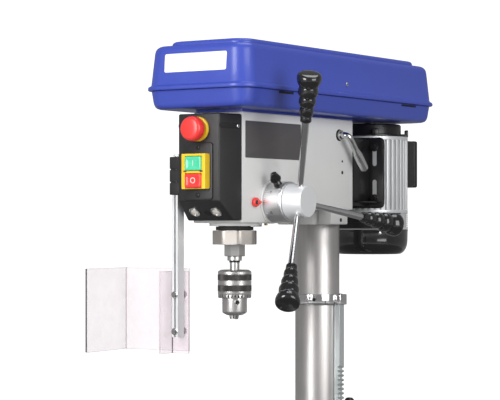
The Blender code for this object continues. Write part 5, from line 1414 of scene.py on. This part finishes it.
def build_terminal_box():
    """The motor's terminal box with its lid and four screws."""
    box_low, box_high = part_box("terminal_box")
    seat = MOTOR.y + MOTOR_RADIUS - 0.002
    body = block((box_low.x, seat - 0.016, box_low.z), (box_high.x, box_high.y - 0.014, box_high.z), 0.003, 3)
    cover = block(
        (box_low.x - 0.0006, box_high.y - 0.0137, box_low.z - 0.0006),
        (box_high.x + 0.0006, box_high.y, box_high.z + 0.0006), 0.0035, 4)
    shown(
        "terminal_box_finished", merged(body, cover), "black_plastic", "motor",
        ("terminal_box",))
    for side, x in (("left", -0.032), ("right", 0.032)):
        for level, z in (("low", box_low.z + 0.009), ("high", box_high.z - 0.009)):
            name = f"terminal_screw_{side}_{level}"
            marked_screw(
                name, name + "_mark", 0.0034, 0.0020, (x, box_high.y - 0.0004, z), (0, 1, 0), "steel",
                "motor")


build_terminal_box()


def build_plate():
    """The slotted motor plate with its arms, bolts and slide bars."""
    plate_low, plate_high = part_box("motor_plate")
    face, back = plate_high.y - 0.006, plate_high.y
    slots = []
    for side in (-1, 1):
        for z in (plate_low.z + PLATE_SLOT_INSET, plate_high.z - PLATE_SLOT_INSET):
            slots.append((side * PLATE_SLOT_X, z))
    plate = prism(
        rounded(plate_low.x, plate_high.x, plate_low.z, plate_high.z, 0.010, 8), face, back, "Y", 0.0009)
    arms = [plate]
    for side in (-1, 1):
        arms.append(
            block(
                (side * PLATE_ARM_X - 0.0015, plate_low.y, plate_low.z + 0.004),
                (side * PLATE_ARM_X + 0.0015, face + 0.001, plate_high.z - 0.004), 0.0006))
    for near, far in ((-PLATE_WEB_X, -PLATE_ARM_X), (PLATE_ARM_X, PLATE_WEB_X)):
        arms.append(
            block(
                (near, plate_low.y + 0.004, plate_low.z + 0.010), (far, face + 0.0005, plate_low.z + 0.0125),
                0.0004))
    shown("motor_plate_finished", merged(*arms), "black_paint", "motor", ("motor_plate",))
    lights = []
    for x, z in slots:
        lights.append(
            prism(
                rounded(x - 0.0042, x + 0.0042, z - 0.0195, z + 0.0195, 0.0041, 8), face - 0.0003,
                back + 0.0003, "Y"))
    shown("motor_plate_slots", merged(*lights), "silver_paint", "motor")
    for index, (x, z) in enumerate(slots):
        up = 0.0150 if z > centre("motor_plate").z else -0.0150
        bolt = hex_bolt(0.011, 0.0055, (x, face - 0.0012, z + up), (0, -1, 0), 0.0012)
        shown(f"motor_plate_bolt_{index}", bolt, "black_paint", "motor")
    for node in ("slide_bar_left", "slide_bar_right"):
        bar_low, bar_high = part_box(node)
        middle = (bar_low + bar_high) / 2
        bar = rod(
            (bar_high.x - bar_low.x) / 2, bar_low.y, bar_high.y, (middle.x, 0, middle.z), "Y", 40, 0.0008)
        shown(node + "_finished", bar, "steel", "motor", (node,))


build_plate()


def build_lever():
    """The bent tension lever and its collar."""
    lever_low, lever_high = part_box("tension_lever")
    radius = 0.006
    z, y = lever_high.z - radius, lever_low.y + radius
    reach = lever_high.x - radius
    end = Vector((reach, 0.035, CASTING_HIGH.z - 0.089))
    path = eased([(lever_low.x, y, z), (reach, y, z), tuple(end)], 0.012, 10)
    bar = swept(path, radius * 0.94, 28)
    along = (end - Vector((reach, y, z))).normalized()
    length = (end - Vector((reach, y, z))).length
    grip = moved(
        turned(
            [
                (0, length * 0.40), (0.0056, length * 0.40), (0.0064, length * 0.47), (0.0080, length * 0.56),
                (0.0084, length * 0.92), (0.0078, length * 0.97), (0.0056, length * 1.0), (0, length * 1.0)],
            sides=44),
        facing(along, (reach, y, z)))
    shown(
        "tension_lever_finished", merged(bar, grip), "chrome", "tension_lever", ("tension_lever",))
    collar = tube(0.0061, 0.0088, half_width(y) + 0.0013, half_width(y) + 0.0058, (0, y, z), "X", 40, 0.0006)
    shown("tension_lever_collar", collar, "steel", "tension_lever")


build_lever()


# ---- belt drive ----
def build_drive():
    """Three step pulleys and the two belts."""
    step = PULLEY_STEP
    for node, smallest_up in (("spindle_pulley", False), ("idler_pulley", True), ("motor_pulley", False)):
        node_low, node_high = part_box(node)
        radius = (node_high.x - node_low.x) / 2
        radii = [radius - 0.010 * n for n in range(4)]
        if smallest_up:
            radii.reverse()
        base = node_high.z - 4 * step
        bore = {"spindle_pulley": 0.0103, "idler_pulley": 0.0083, "motor_pulley": 0.0}[node]
        hub_low, hub_r = {
            "spindle_pulley": (CASTING_HIGH.z - 0.001, 0.022), "idler_pulley": (node_low.z, 0.014),
            "motor_pulley": (base - 0.001, 0.012)}[node]
        profile = [(bore, node_high.z), (bore, hub_low), (hub_r, hub_low), (hub_r, base)]
        for index, wide in enumerate(radii):
            middle = base + (index + 0.5) * step
            profile += [
                (wide - 0.0006, middle - step / 2), (wide, middle - step / 2 + 0.0006),
                (wide, middle - 0.0048), (wide - 0.0085, middle - 0.0028), (wide - 0.0085, middle + 0.0028),
                (wide, middle + 0.0048), (wide, middle + step / 2 - 0.0006),
                (wide - 0.0006, middle + step / 2)]
        at = (0, centre(node).y, 0)
        parts = [turned(profile, at, hollow=bore > 0)]
        if node == "motor_pulley":
            parts.append(rod(0.010, node_low.z, base + 0.004, at, edge=0.0006))
        if node == "spindle_pulley":
            parts.append(tube(0.0103, 0.0275, node_low.z, CASTING_HIGH.z - 0.0005, at, edge=0.0006))
        shown(node + "_finished", merged(*parts), "aluminium", BODY_OF[node], (node,))
        if node == "motor_pulley":
            screw = hex_plug(
                0.0030, 0.0016, (0, -1, 0), (0, at[1] - radii[3] - 0.0002, node_high.z - step * 0.5))
            shown("motor_pulley_set_screw", screw, "black_paint", BODY_OF[node])
    for node in ("spindle_belt", "motor_belt"):
        softened_copy(node, 0.0004, 1)


build_drive()


# ---- chuck guard ----
SHEET = 0.003
LINE = 0.0004                # half the width of a sheet's drawn edge
GUARD_SCREWS = (0.6150, 0.5535)


def build_guard():
    """The guard's bracket, its grooved rail and the two folded clear sheets."""
    bracket_low, bracket_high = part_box("guard_bracket")
    rail_low, rail_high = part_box("guard_rail")
    x, y = PIVOT["guard_swing"][0], centre("guard_rail").y
    body = block(
        (bracket_low.x, bracket_low.y, bracket_low.z), (bracket_high.x, bracket_high.y, bracket_high.z),
        0.0016, 3)
    collars = [body]
    tall = bracket_high.z - bracket_low.z
    for z in (bracket_low.z + tall * 0.005, bracket_low.z + tall * 0.345, bracket_low.z + tall * 0.685):
        collars.append(
            block(
                (bracket_low.x - 0.0010, bracket_low.y - 0.0010, z),
                (bracket_high.x - 0.002, bracket_high.y + 0.0004, z + tall * 0.31), 0.0006))
    shown("guard_bracket_finished", merged(*collars), "rubber", "frame", ("guard_bracket",))
    pins = []
    for z in (bracket_low.z + tall * 0.34, bracket_low.z + tall * 0.66):
        pins.append(
            rod(
                0.0022, -0.0008, 0.0012, (x + 0.002, bracket_low.y, z), "Y", 20, 0.0003,
                turn=Matrix.Rotation(math.radians(90), 4, "X")))
    shown("guard_bracket_pins", merged(*pins), "black_paint", "frame")

    top = bracket_low.z - 0.0003
    half_w, half_d, back_d = 0.006, 0.0100, 0.0085
    section = [
        (-half_w, -half_d), (-0.0017, -half_d), (-0.0017, -half_d + 0.0022), (-0.0036, -half_d + 0.0022),
        (-0.0036, -half_d + 0.0052), (0.0036, -half_d + 0.0052), (0.0036, -half_d + 0.0022),
        (0.0017, -half_d + 0.0022), (0.0017, -half_d), (half_w, -half_d), (half_w, back_d), (0.0017, back_d),
        (0.0017, back_d - 0.0022), (0.0036, back_d - 0.0022), (0.0036, back_d - 0.0048),
        (-0.0036, back_d - 0.0048), (-0.0036, back_d - 0.0022), (-0.0017, back_d - 0.0022), (-0.0017, back_d),
        (-half_w, back_d)]
    rail = prism([(x + u, y + v) for u, v in section], rail_low.z, top, edge=0.0003, segments=1)
    pin = turned(
        [
            (0, top - 0.001), (0.0055, top - 0.001), (0.0055, bracket_high.z + 0.001),
            (0.0080, bracket_high.z + 0.001), (0.0080, rail_high.z - 0.0006), (0.0072, rail_high.z),
            (0, rail_high.z)],
        (x, y, 0), sides=40)
    shown(
        "guard_rail_finished", merged(rail, pin), "pale_aluminium", "guard_post",
        ("guard_rail",))

    inner_low, inner_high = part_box("guard_inner_sheet")
    outer_low, outer_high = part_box("guard_outer_sheet")
    inner_back = 0.0088
    outer_back = inner_back + SHEET + 0.0003
    edges, faint, rims = [], [], []
    # for each sheet: its plate end and fold, its back, its wing's end, its foot and top, and the lists
    # that its fold and its wing's end are drawn in
    sheets = (
        (
            "guard_inner", 0.0145, -0.018, inner_back, (-0.0200, inner_back - 0.032), inner_low.z,
            inner_high.z, edges, faint),
        (
            "guard_outer", 0.013, -0.118, outer_back, (-0.1055, outer_back - 0.125), outer_low.z,
            outer_high.z + 0.004, faint, edges))
    for name, plate_end, fold, back, (wing_x, wing_y), foot, top, folds, wing_ends in sheets:
        section = [
            (fold, back), (plate_end, back), (plate_end, back + SHEET), (fold - SHEET, back + SHEET),
            (wing_x - SHEET, wing_y), (wing_x, wing_y)]
        shown(
            name + "_finished", prism([(x + u, y + v) for u, v in section], foot, top), "clear",
            "guard_sheets", (name + "_sheet",), sharp=20)
        faint.append(
            block(
                (x + plate_end - LINE, y + back, foot), (x + plate_end + LINE, y + back + SHEET, top), 0.0002,
                1))
        wing_ends.append(
            block(
                (x + wing_x - SHEET, y + wing_y - LINE, foot), (x + wing_x, y + wing_y + LINE, top), 0.0002,
                1))
        middle = x + fold - SHEET / 2
        folds.append(
            block((middle - LINE, y + back, foot), (middle + LINE, y + back + SHEET, top), 0.0002, 1))
        path = ((plate_end, back), (fold, back), (wing_x, wing_y))
        for (start_x, start_y), (end_x, end_y) in zip(path, path[1:]):
            for z in (foot, top):
                start = Vector((x + start_x, y + start_y + SHEET / 2, z))
                end = Vector((x + end_x, y + end_y + SHEET / 2, z))
                strip = block((-SHEET / 2, -0.0003, 0), (SHEET / 2, 0.0003, (end - start).length), 0.0001, 1)
                rims.append(moved(strip, facing(end - start, start)))
    # the dark and faint strips are painted shade along the sheets' ends, folds and top and bottom rims
    shown("guard_sheet_edges", merged(*edges), "sheet_edge", "guard_sheets")
    shown("guard_sheet_folds", merged(*faint), "sheet_fold", "guard_sheets")
    shown("guard_sheet_rims", merged(*rims), "sheet_fold", "guard_sheets")

    for index, z in enumerate(GUARD_SCREWS):
        at = (x, y - half_d - 0.0006, z)
        head = hex_bolt(0.0085, 0.0042, at, (0, -1, 0), 0.0012)
        shown(f"guard_screw_{index}", head, "chrome", "guard_sheets")
        nut = hex_bolt(0.0085, 0.0035, (x, y + outer_back + SHEET + 0.001, z), (0, 1, 0), 0.001)
        stem = rod(0.0020, y - half_d - 0.0005, y + outer_back + SHEET + 0.0012, (x, 0, z), "Y", 16)
        shown(f"guard_nut_{index}", merged(nut, stem), "steel", "guard_sheets")


build_guard()


# ---- stand: column, rack, table and base ----
FLANGE_BOLT_CIRCLE = 0.0685


def build_column():
    """The column and the ring that holds the rack's top."""
    column_low, column_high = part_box("column")
    radius = (column_high.x - column_low.x) / 2
    shown(
        "column_finished", tube(radius - 0.0045, radius, column_low.z, column_high.z, edge=0.0006),
        "column_steel", "frame", ("column",))

    collar_low, collar_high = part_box("rack_collar")
    outer = 0.0455
    ring = tube(radius + 0.0003, outer, collar_low.z, collar_high.z, edge=0.0008)
    shown("rack_collar_finished", ring, "chrome", "frame", ("rack_collar",))
    lip = block((outer - 0.004, -0.0112, collar_low.z), (collar_high.x, 0.0112, collar_high.z), 0.0012)
    shown("rack_collar_lip", lip, "chrome", "frame")
    angle = math.radians(-66)
    out = outward(angle)
    middle = (collar_low.z + collar_high.z) / 2
    # the hex socket and the slit are painted shade: dark pieces where shade falls inside them
    socket = hex_plug(0.0033, 0.0002, out, Vector((0, 0, middle)) + out * outer, -0.002)
    shown("rack_collar_screw", socket, "dark_hole", "frame")
    slit = block(
        (outer - 0.002, -0.0005, collar_low.z + 0.0004), (outer + 0.00015, 0.0005, collar_high.z - 0.0004))
    shown(
        "rack_collar_slit", moved(slit, Matrix.Rotation(math.radians(-40), 4, "Z")), "dark_hole", "frame")


build_column()


def build_rack():
    """The rack with slanted teeth."""
    rack_low, rack_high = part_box("rack")
    inner, tip = rack_low.x, rack_high.x
    half = (rack_high.y - rack_low.y) / 2
    tooth, pitch, plain = 0.0042, 0.0080, 0.101
    slant = 0.0042
    rings = []
    for share in (-1, 1):
        outline = [(inner, rack_high.z), (inner, rack_low.z), (tip, rack_low.z)]
        height = rack_low.z + pitch
        while height + pitch < rack_high.z - plain:
            lift = height - slant * share / 2
            outline += [
                (tip, lift), (tip - tooth, lift + pitch * 0.22), (tip - tooth, lift + pitch * 0.48),
                (tip, lift + pitch * 0.70)]
            height += pitch
        outline.append((tip, rack_high.z))
        rings.append([(px, half * share, pz) for px, pz in outline])
    body = soften(lofted(rings), 0.0003, 1, 30)
    shown("rack_finished", body, "pale_rack", BODY_OF["rack"], ("rack",))


build_rack()


def build_stand_castings():
    """The base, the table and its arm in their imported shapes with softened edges, and the tilt bolt."""
    for node, width in (("table", 0.0010), ("table_arm", 0.0014), ("base", 0.0016)):
        softened_copy(node, width)
    bolt_low, bolt_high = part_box("tilt_bolt")
    middle = (bolt_low + bolt_high) / 2
    head = hex_bolt(0.024, 0.009, (middle.x, bolt_low.y + 0.009, middle.z), (0, -1, 0), 0.0015)
    stem = rod(0.008, bolt_low.y + 0.009, bolt_high.y, (middle.x, 0, middle.z), "Y", 40)
    shown("tilt_bolt_finished", merged(head, stem), "steel", BODY_OF["tilt_bolt"], ("tilt_bolt",))


build_stand_castings()


def build_crank():
    """The table's crank with its grip and set screw."""
    z = PIVOT["crank_turn"][2]
    shaft_low = 0.0553
    hub = turned(
        [
            (0, shaft_low), (0.0075, shaft_low), (0.0075, 0.0778), (0.0130, 0.0778), (0.0130, 0.0905),
            (0.0120, 0.0915), (0, 0.0915)],
        (0, 0, z), "X", 48)
    web = prism(rounded(-0.085, 0.008, z - 0.008, z + 0.008, 0.0078, 8), 0.0815, 0.0895, "X", 0.0014, 3)
    grip_at = (0.0775, -0.077, z)
    grip = turned(
        [
            (0, 0.006), (0.006, 0.006), (0.006, 0.0160), (0.0075, 0.0170), (0.0098, 0.0200), (0.0108, 0.0280),
            (0.0116, 0.0420), (0.0120, 0.0560), (0.0112, 0.0620), (0.0090, 0.0652), (0, 0.066)],
        grip_at, "X", 48)
    shown("table_crank_finished", merged(hub, web), "black_paint", "crank", ("table_crank",))
    shown("table_crank_grip", grip, "black_gloss", "crank")
    set_screw = hex_plug(0.0030, 0.0012, (0, 0, 1), (0.0850, 0, z + 0.0125))
    shown("table_crank_set_screw", set_screw, "chrome", "crank")


build_crank()


def build_column_lock():
    """The lever that locks the table to the column."""
    x, y, z = PIVOT["column_lock_turn"]
    lock_low = low("column_lock_lever")
    shaft = turned(
        [
            (0, lock_low.x), (0.005, lock_low.x), (0.005, 0.0203), (0.0094, 0.0203), (0.0100, 0.0210),
            (0.0100, 0.0332), (0.0092, 0.0340), (0, 0.0340)],
        (0, y, z), "X", 40)
    arm = moved(
        turned(
            [
                (0, 0), (0.0040, 0), (0.0040, 0.010), (0.0050, 0.048), (0.0062, 0.0520), (0.0085, 0.0560),
                (0.0092, 0.0620), (0.0084, 0.0680), (0.0055, 0.0712), (0, 0.072)],
            sides=40),
        Matrix.Translation((x, y, z)))
    shown(
        "column_lock_finished", merged(shaft, arm), "black_paint", "column_lock",
        ("column_lock_lever",))


build_column_lock()


def build_flange():
    """The column's foot with its hollow fillet, four bolts and set screw."""
    flange_low, flange_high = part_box("column_flange")
    radius = (flange_high.x - flange_low.x) / 2
    neck = 0.0523
    profile = [
        (0.0403, flange_low.z), (radius - 0.0012, flange_low.z), (radius, flange_low.z + 0.0012),
        (radius, flange_low.z + 0.0085), (radius - 0.0015, flange_low.z + 0.0100)]
    for step in range(9):
        angle = math.radians(90 * step / 8)
        profile.append(
            (neck + 0.016 * (1 - math.sin(angle)), flange_low.z + 0.010 + 0.016 * (1 - math.cos(angle))))
    profile += [(neck, flange_high.z - 0.002), (neck - 0.0016, flange_high.z), (0.0403, flange_high.z)]
    shown(
        "column_flange_finished", turned(profile, hollow=True, sides=96), "cast_grey", "frame",
        ("column_flange",))
    for index in range(4):
        angle = math.radians(45 + 90 * index)
        at = outward(angle) * FLANGE_BOLT_CIRCLE + Vector((0, 0, flange_low.z + 0.0113))
        shown(
            f"flange_bolt_{index}", hex_bolt(0.013, 0.0065, at, (0, 0, 1), 0.0013), "steel", "frame")
    # the set screw's socket is painted shade: a dark hex plug
    screw = hex_plug(0.0040, 0.0010, (1, 0, 0), (neck - 0.0002, 0, flange_high.z - 0.018))
    shown("flange_set_screw", screw, "dark_hole", "frame")


build_flange()


# ---- nodes shown as packed ----
for node in sorted(SHOWN_AS_PACKED):
    held = frame["nodes"][node]
    held.data.materials.clear()
    held.data.materials.append(FINISHES[SLOT_OF[node]])


# ---- stage, light and camera ----
GLOW_SEEN = 1.00             # brightness of the pale sweep itself
GLOW_CAST = 0.17             # light that it gives to the machine
SKY = 0.22                   # light from above the sweep


def staged(name, bm, material):
    mesh = bpy.data.meshes.new(name)
    bm.to_mesh(mesh)
    bm.free()
    mesh.materials.append(material)
    made = bpy.data.objects.new(name, mesh)
    bpy.context.scene.collection.objects.link(made)
    return made


def lamp(name, at, aim, size, power, colour=(1, 1, 1)):
    light = bpy.data.lights.new(name, "AREA")
    light.shape = "RECTANGLE"
    light.size, light.size_y = size
    light.energy = power
    light.color = colour
    made = bpy.data.objects.new(name, light)
    made.location = at
    made.rotation_euler = (Vector(aim) - Vector(at)).to_track_quat("-Z", "Y").to_euler()
    bpy.context.scene.collection.objects.link(made)


FLOOR_LEVEL = -0.0005
FLOOR_REACH = 12.0
SWEEP_BEND = 3.0
WALL_TOP = 11.0
SWEEP_SIDES = 96


def sweep():
    """A round floor that rises all round into a wall, as one smooth sheet."""
    bm = bmesh.new()
    section = [(2.0, FLOOR_LEVEL), (6.0, FLOOR_LEVEL), (FLOOR_REACH, FLOOR_LEVEL)]
    for step in range(1, 9):
        angle = math.radians(90 * step / 8)
        section.append((FLOOR_REACH + SWEEP_BEND * math.sin(angle), SWEEP_BEND * (1 - math.cos(angle))))
    section.append((FLOOR_REACH + SWEEP_BEND, WALL_TOP))
    made = []
    for reach, height in section:
        ring = [outward(math.tau * side / SWEEP_SIDES) * reach for side in range(SWEEP_SIDES)]
        made.append([bm.verts.new(point + Vector((0, 0, height))) for point in ring])
    bm.faces.new(made[0])
    for near, far in zip(made, made[1:]):
        for here in range(SWEEP_SIDES):
            after = (here + 1) % SWEEP_SIDES
            bm.faces.new((near[here], near[after], far[after], far[here]))
    for face in bm.faces:
        face.smooth = True
    return bm


PALE = finish("pale_floor", (0.45, 0.45, 0.45), 0.7, grain=60.0, relief=0.0001, mottle=0.005)
pale_nodes, pale_links = PALE.node_tree.nodes, PALE.node_tree.links
pale_nodes["Principled BSDF"].inputs["Emission Color"].default_value = (1.0, 1.0, 1.0, 1.0)
pale_links.new(
    ranged(
        pale_nodes, pale_links, pale_nodes.new("ShaderNodeLightPath").outputs["Is Camera Ray"], GLOW_CAST,
        GLOW_SEEN, 0.0, 1.0),
    pale_nodes["Principled BSDF"].inputs["Emission Strength"])
staged("floor", sweep(), PALE)

world = bpy.data.worlds.new("studio")
world.use_nodes = True
world.node_tree.nodes["Background"].inputs["Color"].default_value = (1.0, 1.0, 1.0, 1.0)
world.node_tree.nodes["Background"].inputs["Strength"].default_value = SKY
bpy.context.scene.world = world

lamp("key", (-0.20, -3.0, 1.55), (0, -0.15, 0.80), (1.1, 2.2), 78)
lamp("side", (2.4, -0.9, 1.3), (0, -0.1, 0.75), (1.4, 2.0), 40)
lamp("top", (0.2, 0.2, 2.8), (0, 0, 0.9), (1.2, 1.2), 14)

camera = bpy.data.cameras.new("camera")
camera.lens = 141.6
camera.sensor_width = 36.0
camera.shift_y = 0.058
camera.clip_end = 80
viewer = bpy.data.objects.new("camera", camera)
viewer.location = (1.864, -3.037, 0.725)
viewer.rotation_euler = (math.radians(90), 0, math.radians(33.5))
bpy.context.scene.collection.objects.link(viewer)
bpy.context.scene.camera = viewer
bpy.context.scene.view_settings.view_transform = "Standard"
